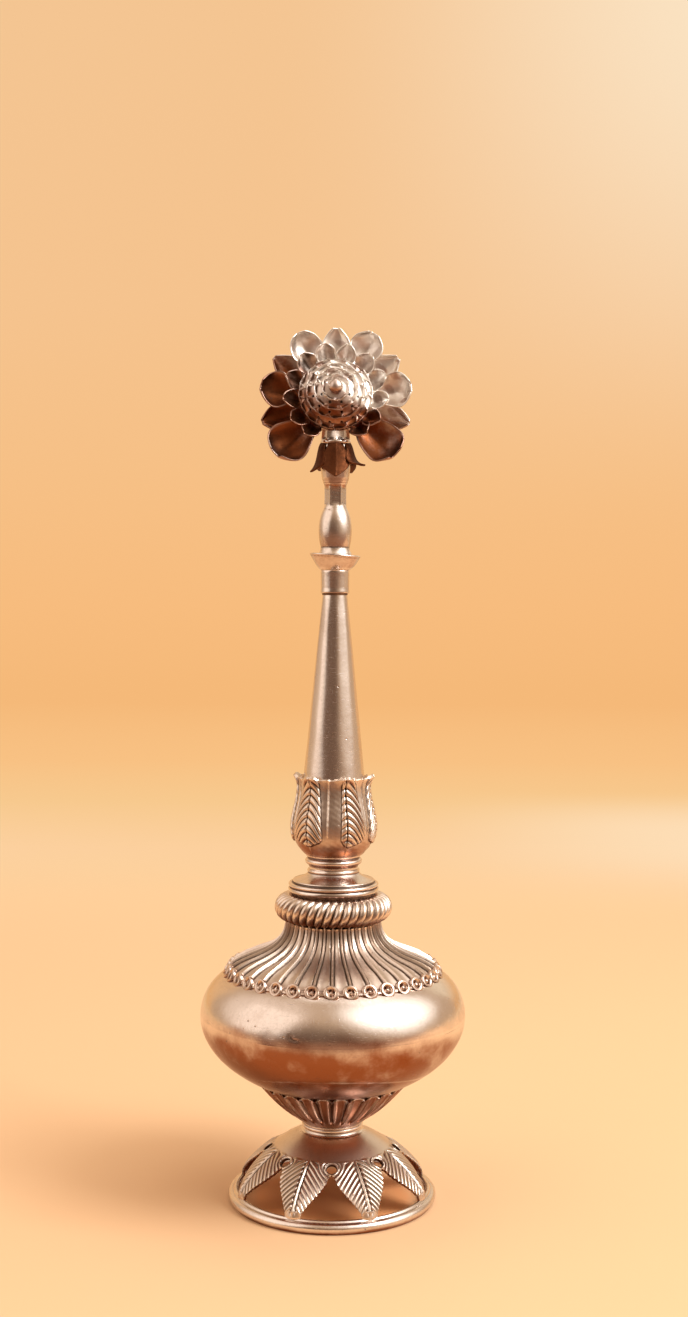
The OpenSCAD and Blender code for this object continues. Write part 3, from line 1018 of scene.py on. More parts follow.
    def dome(self) -> None:
        """The dome: eight leaves merged into one sheet, drilled between the leaves."""
        bench = self.shop.bench
        leaf = bench.grid("foot_dome", 96, 60)
        bench.shape(leaf, self.leaf)
        turn = 180.0 / self.legs - 90.0
        whole = bench.join("foot_dome", bench.ring(leaf, self.legs, turn))
        bench.heal(5e-6)
        if bench.normals(whole)[:, 2].mean() < 0:
            whole.data.flip_normals()
        bench.thicken(whole, self.sheet)
        hole = Matrix.Translation((self.hole_r * MM, 0, self.hole_z * MM))
        place = hole @ Matrix.Rotation(math.radians(self.hole_lean), 4, "Y")
        drill = bench.rod("drill", self.hole_d / 2, 8, place, 32)
        bench.cut(whole, bench.join("drills", bench.ring(drill, self.legs, -90.0)))
        self.shop.hand_over(whole, "foot_dome", Body.VESSEL, Slot.CHASED, reach=0.8)
        self.mark_leaves(whole, turn)

    def mark_leaves(self, dome: Piece, turn: float) -> None:
        """Stores where the dome is chased, paints shade into its holes and its inside, and turns the
        inside brown as tarnish and painted shade.

        Args:
            dome: The dome, handed over already.
            turn: Azimuth of the middle of one leg, in degrees.
        """
        bench = self.shop.bench
        at, normal = bench.around(dome), bench.normals(dome)
        radial = (at.xyz[:, 0] * normal[:, 0] + at.xyz[:, 1] * normal[:, 1]) / at.r
        outward = radial * 0.6 + normal[:, 2] * 0.8
        side = np.radians(beat(at.angle, self.legs, turn) * 360.0 / self.legs) * at.r
        s = np.interp(at.r, self.dome_line()[:, 0], self.lengths())
        count, leaf = self.chasing(s, at.r, side)
        bench.store(dome, "barb", count)
        bench.store(dome, "leaf", leaf * ease(outward, 0.2, 0.5))
        swing = np.radians(beat(at.angle, self.legs, -90.0) * 360.0 / self.legs)
        x, y = at.r * np.cos(swing), at.r * np.sin(swing)
        away = np.stack([x - self.hole_r, y, at.z - self.hole_z], axis=1)
        lean = math.radians(self.hole_lean)
        axis = np.array([math.sin(lean), 0.0, math.cos(lean)])
        from_axis = np.linalg.norm(away - (away @ axis)[:, None] * axis, axis=1)
        # Painted shade: the walls of the drilled holes and the inside of the dome are darkened, and the
        # inside turns brown.
        drilled = 1.0 - ease(from_axis, self.hole_d / 2, self.hole_d / 2 + 0.3)
        inside = 1.0 - ease(outward, -0.3, 0.1)
        bench.store_more(dome, "hollow", np.maximum(drilled, 0.6 * inside))
        bench.store_more(dome, "patina_and_shade", inside)

    def collar(self) -> None:
        """The collar between the dome and the calyx: a cove under a small bead."""
        section = (
            Outline((4.0, 22.2), (10.0, 22.2))
            .curve((9.4, 22.4), (9.1, 22.9), (9.1, 23.4), 6)
            .arc((9.2, 24.1), 0.65, -75, 75, 8)
            .to((9.35, 24.9), (9.6, 25.2), (4.0, 25.2))
        )
        piece = self.shop.bench.lathe("foot_collar", section, 128)
        self.shop.hand_over(piece, "foot_collar", Body.VESSEL, Slot.PLAIN, reach=0.7)


@dataclass(frozen=True)
class Knock:
    """One knock in the flask: its azimuth in degrees, and the rest in millimetres."""

    angle: float
    z: float
    size: float
    deep: float

    def away(self, at: Around) -> tuple[Cloud, Cloud]:
        """How far points lie aside of its middle and above it."""
        return np.radians(beat(at.angle, 1, self.angle) * 360) * at.r, at.z - self.z


@dataclass
class Flask:
    """The fluted calyx and the two raised halves of the flask."""

    shop: Workshop
    flutes: int = 28
    equator: Point = (42.4, 59.6)
    knocks: tuple[Knock, ...] = (
        Knock(-117.0, 62.4, 2.6, 0.16), Knock(-58.0, 55.0, 3.4, 0.2),
        Knock(-30.0, 63.0, 4.0, 0.16), Knock(-152.0, 52.5, 3.6, 0.16),
        Knock(40.0, 57.0, 3.8, 0.2), Knock(118.0, 64.0, 3.2, 0.18),
    )
    crescent: Knock = Knock(-105.0, 63.4, 1.6, 0.24)

    def build(self) -> None:
        """Makes the three pieces."""
        self.calyx()
        self.lower_half()
        self.upper_half()

    def from_flute(self, angle: Cloud) -> Cloud:
        """How far azimuths lie from the middle of a flute (0) towards a groove (1)."""
        return np.abs(2 * beat(angle, self.flutes, 180.0 / self.flutes))

    def calyx(self) -> None:
        """The calyx: convex petals that end in round tips against the bowl."""
        section = (
            Outline((8.4, 25.2), (9.6, 25.2))
            .curve((15.5, 29.4), (19.4, 32.6), (24.4, 39.0), 44)
            .to((24.0, 39.05), (23.4, 39.05), (23.0, 39.0))
            .curve((18.2, 33.8), (14.0, 31.2), (8.4, 25.2), 14)
        )
        section.points.pop()
        piece = self.shop.bench.lathe("under_calyx", section, 672)

        def petals(at: Around) -> Cloud:
            """Grooves between the flutes, each with a chased line beside it."""
            x = self.from_flute(at.angle)
            up = np.clip((at.z - 25.2) / 13.8, 0, 1)
            groove = (0.6 + 1.1 * up) * ease(up, 0.12, 0.26)
            edge = 0.2 * ridge(x - 0.5, 0.13) * ease(up, 0.12, 0.34)
            return -groove * ease(x, 0.5, 1.0) + edge

        self.shop.bench.crowd(piece, self.flutes, 0.0, 1.25)
        self.shop.bench.relief(piece, (0.7, -0.7), petals)
        at = self.shop.bench.around(piece)
        at.xyz[:, 2] -= 1.25 * self.from_flute(at.angle) ** 2.2 * ease(at.z, 36.5, 39.0)
        self.shop.bench.write(piece, at.xyz)
        self.shop.hand_over(
            piece, "under_calyx", Body.VESSEL, Slot.CHASED, reach=1.0, deep=0.09, underside_tarnish_and_shade=1.0
        )

    def dents(self, at: Around) -> Cloud:
        """Knocks in the polished flask: shallow ones all round and one crescent in front.

        Args:
            at: Points of the flask.

        Returns:
            How far each point is raised, in millimetres.
        """
        clear = ease(np.abs(at.z - self.equator[1]), 1.0, 7.0)
        rise = -0.05 * (1.0 + wobble(at.xyz, 31.0, 1.3)) * clear
        for knock in self.knocks:
            rise -= knock.deep * ridge(np.hypot(*knock.away(at)), knock.size)
        side, up = self.crescent.away(at)
        bow = np.hypot(side, up) - self.crescent.size
        lower_left = ease(-0.6 * side - 0.8 * up, 0.3, 1.2)
        return rise - self.crescent.deep * ridge(bow, 0.27) * lower_left

    def brown(self, piece: Piece) -> None:
        """Browns the flask below its equator, most at the left and less at the right, partly as tarnish
        and partly as painted shade, with a thin line of painted highlight near the calyx.

        Args:
            piece: A half of the flask, handed over already.
        """
        xyz = self.shop.bench.read(piece)
        uneven = 2.6 * wobble(xyz * [1, 1, 2], 27.0, 0.7) + 2.2 * wobble(xyz, 12.0, 2.3)
        # Painted shade, partly tarnish: the lower half turns brown below an uneven line.
        low = 1.0 - ease(xyz[:, 2] + uneven, 51.5, 66.5)
        spots = 1.0 - 0.2 * ease(wobble(xyz, 14.0, 1.9), 0.1, 0.7)
        less_at_right = (1.0 - 0.25 * ease(xyz[:, 0], 0.0, 36.0)) * spots
        # Painted shade: browner still below the line where the calyx meets the bowl, with a thin painted
        # highlight along that line.
        below = 48.2 - xyz[:, 2] - 1.6 * (xyz[:, 0] / 18.0) ** 2
        deeper = 1.0 + 0.9 * ease(below, 0.2, 1.2)
        rubbed_and_painted_highlight = 1.0 - 0.5 * ridge(below, 0.3)
        self.shop.bench.store(piece, "patina_and_shade", low * less_at_right * deeper * rubbed_and_painted_highlight)

    def lower_half(self) -> None:
        """The lower half with its flattened bottom."""
        section = (
            Outline((0.0, 35.4), (8.0, 35.6), (16.0, 36.8), (22.8, 39.0), (24.7, 39.0))
            .curve((32.8, 42.8), (42.4, 49.7), self.equator, 44)
            .to((41.4, 59.6))
            .curve((41.5, 50.3), (32.3, 43.9), (24.5, 40.1), 20)
            .to((16.0, 37.8), (8.0, 36.6), (0.0, 36.4))
        )
        piece = self.shop.bench.lathe("bowl_lower", section, 320)
        self.shop.bench.relief(piece, (0.8, -0.6), lambda at: self.dents(at) * ease(at.z, 40.0, 44.0))
        self.shop.hand_over(piece, "bowl_lower", Body.VESSEL, Slot.PLAIN, reach=1.4)
        self.brown(piece)

    def upper_half(self) -> None:
        """The upper half, which closes in under the mantle to the neck ring."""
        section = (
            Outline(self.equator)
            .curve((42.4, 66.0), (39.1, 70.9), (33.5, 73.7), 40)
            .to((32.6, 74.1))
            .curve((27.5, 76.3), (12.0, 77.5), (12.0, 88.0), 16)
            .to((12.0, 90.0), (11.0, 90.0), (11.0, 88.0))
            .curve((11.0, 77.3), (27.1, 75.4), (33.0, 72.8), 12)
            .curve((38.5, 70.1), (41.5, 65.6), (41.4, 59.6), 20)
        )
        piece = self.shop.bench.lathe("bowl_upper", section, 320)
        self.shop.bench.relief(
            piece, (0.8, 0.6), lambda at: self.dents(at) * (1 - ease(at.z, 70.5, 73.5))
        )
        self.shop.hand_over(piece, "bowl_upper", Body.VESSEL, Slot.PLAIN, reach=1.4)
        self.brown(piece)


@dataclass
class Shoulder:
    """The fluted mantle with its hem of curls, and the rope ring on top."""

    shop: Workshop
    flutes: int = 36
    lobes: int = 40
    lean: float = 11.0
    roll: Point = (14.6, 94.4)
    roll_r: float = 4.2

    def build(self) -> None:
        """Makes the two pieces."""
        self.mantle()
        self.rope()

    def mantle(self) -> None:
        """The mantle: hollow flutes between sharp ribs, each rib ending in a curl."""
        bench = self.shop.bench
        section = (
            Outline((33.0, 73.9), (33.9, 73.45), (34.3, 73.7), (34.2, 74.3), (33.6, 74.8))
            .curve((28.4, 80.4), (15.3, 79.2), (14.9, 90.0), 64)
            .to((13.2, 90.0))
            .curve((14.2, 77.6), (27.4, 78.0), (31.6, 75.1), 12)
        )
        cloth = bench.lathe("shoulder_mantle", section, 720)
        bench.crowd(cloth, self.flutes, 0.0, 1.4)

        def flutes(at: Around) -> Cloud:
            """Hollow flutes, raised ribs between them, and a chased line beside each rib."""
            x = np.abs(2 * beat(at.angle, self.flutes, 180.0 / self.flutes))
            up = np.clip((at.z - 74.6) / 15.4, 0, 1)
            width = at.r * math.pi / self.flutes
            rib = ridge((1 - x) * width, 0.26)
            hollow = -(0.62 - 0.3 * up) * (1 - x**2) * ease(at.z, 73.8, 75.2)
            cut = -0.34 * ridge((1 - x) * width - 0.6, 0.2)
            return hollow + (0.66 - 0.2 * up) * rib + cut

        bench.relief(cloth, (0.7, 0.7), flutes)
        pieces = [cloth, *bench.ring(self.curl(), self.flutes)]
        whole = bench.join("shoulder_mantle", pieces)
        self.shop.hand_over(
            whole, "shoulder_mantle", Body.VESSEL, Slot.CHASED, reach=0.9, deep=0.13
        )
        hem = ease(bench.around(whole).r, 30.8, 32.6)
        bench.store_more(whole, "patina_and_shade", 0.36 * hem)

    def curl(self) -> Piece:
        """One curl of the hem: a crescent of wire with an eye in it.

        Returns:
            The curl, in its place at azimuth 0.
        """
        bench = self.shop.bench
        bench.clear()
        bpy.ops.mesh.primitive_torus_add(
            major_segments=24, minor_segments=10, major_radius=1.85 * MM, minor_radius=0.7 * MM
        )
        wire = bench.settle(bpy.context.object, "curl")
        points = bench.read(wire)
        turn = np.arctan2(points[:, 1], points[:, 0])
        swell = 1.0 + 0.85 * np.cos(turn - 2.2)
        points[:, 2] *= swell
        points[:, :2] *= (0.8 + 0.15 * swell + 0.07 * np.cos(2 * turn - 0.9))[:, None]
        bench.write(wire, points)
        bench.clear()
        spot = (-0.12 * MM, 0.2 * MM, -0.25 * MM)
        bpy.ops.mesh.primitive_uv_sphere_add(
            segments=14, ring_count=8, radius=0.82 * MM, location=spot
        )
        eye = bench.settle(bpy.context.object, "eye")
        curl = bench.join("curl", [wire, eye])
        curl.data.transform(
            Matrix.Translation((33.9 * MM, -0.35 * MM, 74.2 * MM))
            @ Matrix.Rotation(math.radians(48), 4, "Y")
            @ Matrix.Rotation(math.radians(35), 4, "Z")
        )
        return curl

    def rope(self) -> None:
        """The rope ring: a roll of slanting lobes."""
        section = (
            Outline((11.2, 90.0), (14.6, 90.0))
            .arc(self.roll, self.roll_r, -84, 84, 36)
            .to((14.2, 98.8), (11.2, 98.8))
        )
        piece = self.shop.bench.lathe("rope_ring", section, 800)

        def lobes(at: Around) -> Cloud:
            """Slanting grooves between the lobes, deepest at the roll's outside."""
            tilt = np.degrees(np.arctan2(at.z - self.roll[1], at.r - self.roll[0]))
            shift = self.lean * np.clip(tilt / 168.0, -0.5, 0.5)
            x = np.abs(2 * beat(at.angle - shift, self.lobes, 180.0 / self.lobes))
            deep = 1.15 * np.cos(np.radians(np.clip(tilt, -88, 88))) ** 0.45
            return -deep * x**2.2

        self.shop.bench.relief(piece, (1.0, 0.0), lobes)
        self.shop.hand_over(piece, "rope_ring", Body.VESSEL, Slot.CHASED, reach=0.9, deep=0.16)


@dataclass
class Screw:
    """A right-handed screw thread cut into a turned piece."""

    pitch: float
    depth: float
    low: float
    high: float
    radius: float

    def cut(self, at: Around) -> Cloud:
        """Cuts the thread.

        Args:
            at: Points of the piece.

        Returns:
            How far each is raised, which is 0 or less, in millimetres.
        """
        x = np.abs(2 * beat(at.z * 360.0 / self.pitch - at.angle, 1))
        inside = ease(at.z, self.low, self.low + 0.7) * (1 - ease(at.z, self.high - 0.7, self.high))
        near = ease(-np.abs(at.r - self.radius), -0.3, -0.2)
        return -self.depth * ease(x, 0.25, 0.8) * inside * near


@dataclass
class Mouth:
    """The screwed mouth: socket, leather washer and the plug of the neck."""

    shop: Workshop
    mouth_z: float = 98.8
    washer_h: float = 0.8
    bore_r: float = 8.5
    spigot_r: float = 8.45
    pitch: float = 1.9

    def build(self) -> None:
        """Makes the three pieces."""
        bench = self.shop.bench
        top = self.mouth_z
        socket = Outline((self.bore_r, 83.0), (11.0, 83.0), (11.0, top), (self.bore_r + 0.3, top),
                         (self.bore_r, top - 0.3)).to((self.bore_r, 83.0))
        piece = bench.lathe("mouth_socket", socket.even(0.3), 96)
        thread = Screw(self.pitch, 0.4, 84.5, top - 0.4, self.bore_r)
        bench.relief(piece, (-1.0, 0.0), thread.cut)
        self.shop.hand_over(piece, "mouth_socket", Body.VESSEL, Slot.THREAD, angle=50)
        flange_z = top + self.washer_h
        washer = (
            Outline((8.9, top), (13.3, top)).curve((13.6, top), (13.6, flange_z), (13.3, flange_z), 8)
            .to((8.9, flange_z))
        )
        piece = bench.lathe("neck_washer", washer, 128)
        self.shop.hand_over(piece, "neck_washer", Body.NECK_SEAL, Slot.LEATHER)
        plug = Outline((7.0, top - 7.2), (self.spigot_r - 0.5, top - 7.2), (self.spigot_r, top - 6.7),
                       (self.spigot_r, flange_z), (7.0, flange_z)).to((7.0, top - 7.2))
        piece = bench.lathe("neck_spigot", plug.even(0.25), 96)
        thread = Screw(self.pitch, 0.45, top - 6.9, top - 0.2, self.spigot_r)
        bench.relief(piece, (1.0, 0.0), thread.cut)
        self.shop.hand_over(piece, "neck_spigot", Body.NECK, Slot.THREAD, angle=50)


@dataclass
class CupLeaf:
    """One chased leaf of the cup: its midrib's azimuth and its width to each side, in degrees."""

    angle: float
    left: float
    right: float


@dataclass
class NeckBase:
    """The stepped flange, the bead ring and the leaf cup."""

    shop: Workshop
    rim_z: float = 136.6
    barb_pitch: float = 2.3
    leaves: tuple[CupLeaf, ...] = (
        CupLeaf(-129.0, 26.0, 24.0), CupLeaf(-71.0, 9.0, 29.0), CupLeaf(-9.0, 25.0, 23.0),
        CupLeaf(51.0, 23.0, 25.0), CupLeaf(111.0, 24.0, 24.0), CupLeaf(171.0, 23.0, 24.0),
    )

    def build(self) -> None:
        """Makes the three pieces."""
        self.flange()
        self.bead()
        self.cup()

    def flange(self) -> None:
        """The flange with its line mouldings."""
        section = (
            Outline((6.4, 99.6), (14.3, 99.6), (14.5, 99.8), (14.5, 100.5), (14.35, 100.75))
            .to((14.0, 100.85), (14.0, 101.1))
            .arc((13.8, 101.7), 0.6, -60, 80, 8)
            .to((13.3, 102.25), (12.95, 102.35), (12.85, 102.6))
            .arc((12.7, 102.9), 0.35, -10, 80, 4)
            .to((12.4, 103.2), (12.2, 103.25))
            .curve((10.6, 103.7), (9.0, 104.3), (8.15, 105.5), 14)
            .curve((8.1, 105.7), (8.5, 105.9), (8.4, 106.2), 5)
            .to((8.2, 106.6), (6.4, 106.6))
        )
        piece = self.shop.bench.lathe("neck_flange", section, 192)
        self.shop.hand_over(piece, "neck_flange", Body.NECK, Slot.PLAIN, reach=0.6, deep=0.1)

    def bead(self) -> None:
        """The bead between the flange and the cup."""
        section = (
            Outline((6.4, 106.6), (7.9, 106.6))
            .curve((7.7, 107.1), (7.8, 107.7), (8.3, 108.15), 6)
            .arc((8.1, 109.2), 1.0, -62, 78, 12)
            .to((8.25, 110.3))
            .curve((8.3, 110.6), (8.8, 110.6), (8.9, 111.2), 5)
            .to((6.4, 111.2))
        )
        piece = self.shop.bench.lathe("bead_ring", section, 160)
        self.shop.hand_over(piece, "bead_ring", Body.NECK, Slot.PLAIN, reach=0.6, deep=0.1)

    def leaf_mask(self, at: Around) -> tuple[Cloud, Cloud]:
        """Where the leaves of the cup lie.

        Args:
            at: Points of the cup.

        Returns:
            How much each point is on a leaf, and its signed way from the midrib in millimetres.
        """
        mask = np.zeros_like(at.z)
        side = np.full_like(at.z, 99.0)
        up = np.clip((at.z - 115.0) / (self.rim_z - 115.0), 0, 1)
        narrow = (1 - 0.42 * up**1.6) * (1 - (1 - ease(up, -0.02, 0.16)) ** 2)
        for leaf in self.leaves:
            away = beat(at.angle, 1, leaf.angle) * 360
            reach = np.where(away < 0, leaf.left, leaf.right) * narrow
            inside = ease(reach - np.abs(away), 0.0, 2.4)
            side = np.where(inside > 0.01, np.radians(away) * at.r, side)
            mask = np.maximum(mask, inside)
        return mask, side

    def cup(self) -> None:
        """The cup: chased leaves on a plain bulged wall, their tips curled out at the rim."""
        bench = self.shop.bench
        section = (
            Outline((8.4, 111.2), (9.0, 111.2))
            .curve((18.0, 119.6), (10.0, 126.3), (11.4, 136.1), 110)
            .to((11.1, 136.4), (10.7, 136.3), (10.6, 136.0))
            .curve((9.2, 126.3), (16.4, 119.8), (8.4, 111.2), 16)
        )
        section.points.pop()
        piece = bench.lathe("leaf_cup", section, 540)

        def chasing(at: Around) -> Cloud:
            """Barbs and midribs on the leaves, upright lines on the wall between them."""
            mask, side = self.leaf_mask(at)
            phase = (at.z + 0.28 * np.abs(side) + 0.17 * side**2) / self.barb_pitch
            barb = np.abs(np.sin(np.pi * phase)) ** 0.6
            rib = ridge(side, 0.22)
            leaf = 0.42 + 0.55 * (barb - 0.6) - 0.5 * rib
            line = ridge(np.radians(beat(at.angle, 6, -98.0) * 60) * at.r, 0.2)
            panel = 0.22 * line * ease(at.z, 117.5, 119.0) + 0.03 * wobble(at.xyz, 1.9, 0.3)
            on_wall = ease(at.z, 112.6, 115.5)
            return mask * leaf + (1 - mask) * panel * on_wall

        bench.relief(piece, (1.0, 0.0), chasing)
        at = bench.around(piece)
        flare = np.zeros_like(at.r)
        for leaf in self.leaves:
            flare = np.maximum(flare, ridge(beat(at.angle, 1, leaf.angle) * 360, 11.0))
        wavy = 0.5 + 0.5 * np.cos(np.radians(at.angle * 18 + 40))
        top = ease(at.z, self.rim_z - 4.2, self.rim_z)
        new_r = at.r + top**1.6 * (1.35 * flare + 0.35 * wavy * (1 - flare))
        at.xyz[:, 2] += top**2 * (0.55 * flare + 0.25 * wavy * (1 - flare) - 0.35)
        at.xyz[:, :2] *= (new_r / at.r)[:, None]
        bench.write(piece, at.xyz)
        self.shop.hand_over(piece, "leaf_cup", Body.NECK, Slot.CHASED, reach=0.8, deep=0.12)


@dataclass
class NeckTube:
    """The tapering tube and the threaded tip that the head screws on."""

    shop: Workshop
    top_z: float = 194.0
    top_r: float = 4.0
    pitch: float = 1.4

    def build(self) -> None:
        """Makes the two pieces."""
        bench = self.shop.bench
        section = (
            Outline((7.2, 111.2), (8.2, 111.2))
            .curve((9.6, 118.0), (10.8, 126.0), (9.75, 136.6), 16)
            .to((self.top_r, self.top_z), (3.1, self.top_z), (8.85, 136.6))
            .curve((9.8, 126.0), (8.6, 118.0), (7.2, 111.2), 16)
        )
        piece = bench.lathe("neck_cone", section.even(1.6), 160)

        def planished(at: Around) -> Cloud:
            """Faint flats and waves that the hammer left on the tube."""
            tall = ease(at.z, 138.0, 146.0) * (1 - ease(at.z, 188.0, 193.0))
            flats = 0.05 * np.cos(np.radians(at.angle * 9 + 20)) * tall
            return flats - 0.05 - 0.05 * wobble(at.xyz * [1, 1, 0.35], 9.0, 2.1) * tall

        bench.relief(piece, (1.0, 0.0), planished)
        self.shop.hand_over(piece, "neck_cone", Body.NECK, Slot.PLAIN, reach=0.8)
        low = self.top_z - 6.0
        tip = Outline((2.2, low), (3.7, low), (3.1, self.top_z), (3.0, self.top_z), (3.0, 199.5),
                      (2.7, 199.8), (2.2, 199.8)).to((2.2, low))
        piece = bench.lathe("cone_spigot", tip.even(0.2), 72)
        thread = Screw(self.pitch, 0.3, self.top_z + 0.4, 199.6, 3.0)
        bench.relief(piece, (1.0, 0.0), thread.cut)
        self.shop.hand_over(piece, "cone_spigot", Body.NECK, Slot.THREAD, angle=50)


@dataclass
class Head:
    """The stem of the head, from its washer up to the sepals."""

    shop: Workshop
    seat_z: float = 194.0
    washer_h: float = 0.6
    saucer_tilt: float = 3.5
    pitch: float = 1.4

    def build(self) -> None:
        """Makes the six pieces."""
        self.washer()
        self.ferrule()
        self.saucer()
        self.stem()
        self.collar()
        self.sepal_ring()

    def washer(self) -> None:
        """The leather washer under the ferrule."""
        top = self.seat_z + self.washer_h
        section = (
            Outline((3.4, self.seat_z), (3.95, self.seat_z))
            .curve((4.1, self.seat_z), (4.1, top), (3.95, top), 6)
            .to((3.4, top))
        )
        piece = self.shop.bench.lathe("head_washer", section, 96)
        self.shop.hand_over(piece, "head_washer", Body.HEAD_SEAL, Slot.LEATHER)

    def ferrule(self) -> None:
        """The ferrule, worn round at its edges, with its thread inside."""
        z = self.seat_z + self.washer_h
        section = (
            Outline((3.05, z), (4.35, z))
            .curve((4.6, z), (4.6, z + 0.2), (4.6, z + 0.5), 4)
            .to((4.52, z + 1.6), (4.56, z + 5.2), (4.6, z + 6.7))
            .curve((4.6, z + 7.3), (4.5, z + 7.4), (4.3, z + 7.4), 4)
            .to((2.2, z + 7.4), (2.2, z + 5.9), (3.05, z + 5.9), (3.05, z))
        )
        piece = self.shop.bench.lathe("head_ferrule", section.even(0.3), 96)
        thread = Screw(self.pitch, 0.3, z + 0.3, z + 5.7, 3.05)
        self.shop.bench.relief(piece, (-1.0, 0.0), thread.cut)
        self.shop.hand_over(piece, "head_ferrule", Body.HEAD, Slot.PLAIN, angle=50)

    def saucer(self) -> None:
        """The drip saucer, knocked a little out of level."""
        bench = self.shop.bench
        section = (
            Outline((1.7, 202.0), (4.8, 202.0), (5.3, 202.5))
            .curve((6.0, 203.2), (6.9, 204.4), (7.75, 206.1), 8)
            .arc((7.75, 206.6), 0.35, -50, 130, 8)
            .curve((6.6, 206.1), (6.0, 206.3), (5.5, 206.65), 6)
            .to((5.4, 207.0), (1.7, 207.0))
        )
        piece = bench.lathe("drip_saucer", section, 128)
        at = bench.around(piece)
        lean = math.tan(math.radians(self.saucer_tilt))
        at.xyz[:, 2] -= at.xyz[:, 0] * lean * ease(at.r, 4.6, 6.6)
        bench.write(piece, at.xyz)
        self.shop.hand_over(piece, "drip_saucer", Body.HEAD, Slot.PLAIN, reach=0.6, underside_tarnish_and_shade=0.45)

    def stem(self) -> None:
        """The baluster: a bulb, then a throat filed into six flats with fine lines."""
        section = (
            Outline((1.7, 207.0), (5.4, 207.0), (5.1, 207.5), (4.9, 207.9))
            .curve((4.75, 208.4), (4.62, 208.8), (4.6, 209.2), 4)
            .curve((5.75, 213.0), (5.55, 218.4), (3.7, 221.4), 30)
            .to((3.45, 222.4))
            .curve((3.3, 224.0), (3.3, 227.0), (3.45, 228.4), 12)
            .to((3.8, 229.4), (1.7, 229.4))
        )
        piece = self.shop.bench.lathe("baluster_stem", section.even(0.35), 144)

        def filed(at: Around) -> Cloud:
            """Six hollow flats with ribs between them, and fine lines round the throat."""
            x = np.abs(2 * beat(at.angle, 6, 30.0))
            on_throat = ease(at.z, 221.6, 223.4) * (1 - ease(at.z, 227.4, 229.0))
            lines = ridge(np.abs(np.sin(at.z * 2.1 + 0.02 * at.angle)), 0.2)
            flats = -0.36 * (1 - x**2) * on_throat
            ribs = 0.12 * ridge(1 - x, 0.16) * on_throat
            return flats + ribs - 0.05 * lines * ease(at.z, 219.5, 221.5) - 0.04

        self.shop.bench.relief(piece, (1.0, 0.0), filed)
        self.shop.hand_over(piece, "baluster_stem", Body.HEAD, Slot.PLAIN, reach=0.6, deep=0.1)

    def collar(self) -> None:
        """The collar under the flower, fluted at its rim."""
        section = (
            Outline((1.7, 229.4), (3.8, 229.4), (4.3, 231.0), (4.7, 234.0), (4.8, 240.0), (4.6, 241.6))
            .curve((4.9, 241.8), (5.1, 242.5), (4.75, 243.0), 6)
            .to((4.62, 244.6), (4.5, 246.5), (1.7, 246.5))
        )
        piece = self.shop.bench.lathe("sepal_collar", section.even(0.3), 160)

        def fluted(at: Around) -> Cloud:
            """Ten short hollows round the rim."""
            x = np.abs(2 * beat(at.angle, 10, 0.0))
            return -0.4 * (1 - x**2) * ease(at.z, 242.6, 243.6)

        self.shop.bench.relief(piece, (1.0, 0.0), fluted)
        self.shop.hand_over(piece, "sepal_collar", Body.HEAD, Slot.PLAIN, reach=0.6, deep=0.1)

    def sepal_ring(self) -> None:
        """The sepals: broad leaves that hang down with their tips turned out."""
        bench = self.shop.bench
        pieces = []
        spread = ((-90.0, 8.2, 231.3), (-18.0, 9.8, 235.3), (54.0, 8.8, 233.5),
                  (126.0, 9.0, 234.2), (198.0, 8.4, 233.0))
        for angle, tip_r, tip_z in spread:
            path = ((4.6, 242.3), (6.4, 240.8), (5.4, 235.4), (tip_r, tip_z))

            def leaf(along: Cloud, across: Cloud, path: tuple = path) -> Cloud:
                """One sepal lying along +X."""
                spot = cubic(path, along)
                half = np.where(along < 0.7, 2.4 + 2.1 * ease(along, 0, 0.7),
                                0.25 + 4.25 * (1 - np.clip((along - 0.7) / 0.3, 0, 1) ** 1.5))
                side = across * half
                fall = spot[:, 0] - 0.115 * side**2 * (1 - 0.5 * along) + 0.2 * ridge(side, 0.3)
                return np.stack([fall, side, spot[:, 1] - 0.02 * side**2], axis=1)

            sepal = bench.grid("sepal", 22, 14)
            bench.shape(sepal, leaf)
            sepal.data.transform(Matrix.Rotation(math.radians(angle), 4, "Z"))
            bench.thicken(sepal, 0.6, 1)
            pieces.append(sepal)
        whole = bench.join("sepals", pieces)
        bench.heal()
        self.shop.hand_over(whole, "sepals", Body.HEAD, Slot.FLOWER, angle=60, reach=0.7)
        # Painted shade: the sepals turn brown and dark all over, for the shade under the flower.
        bench.store_more(whole, "patina_and_shade", 1.0)
        bench.store_more(whole, "hollow", 0.8)


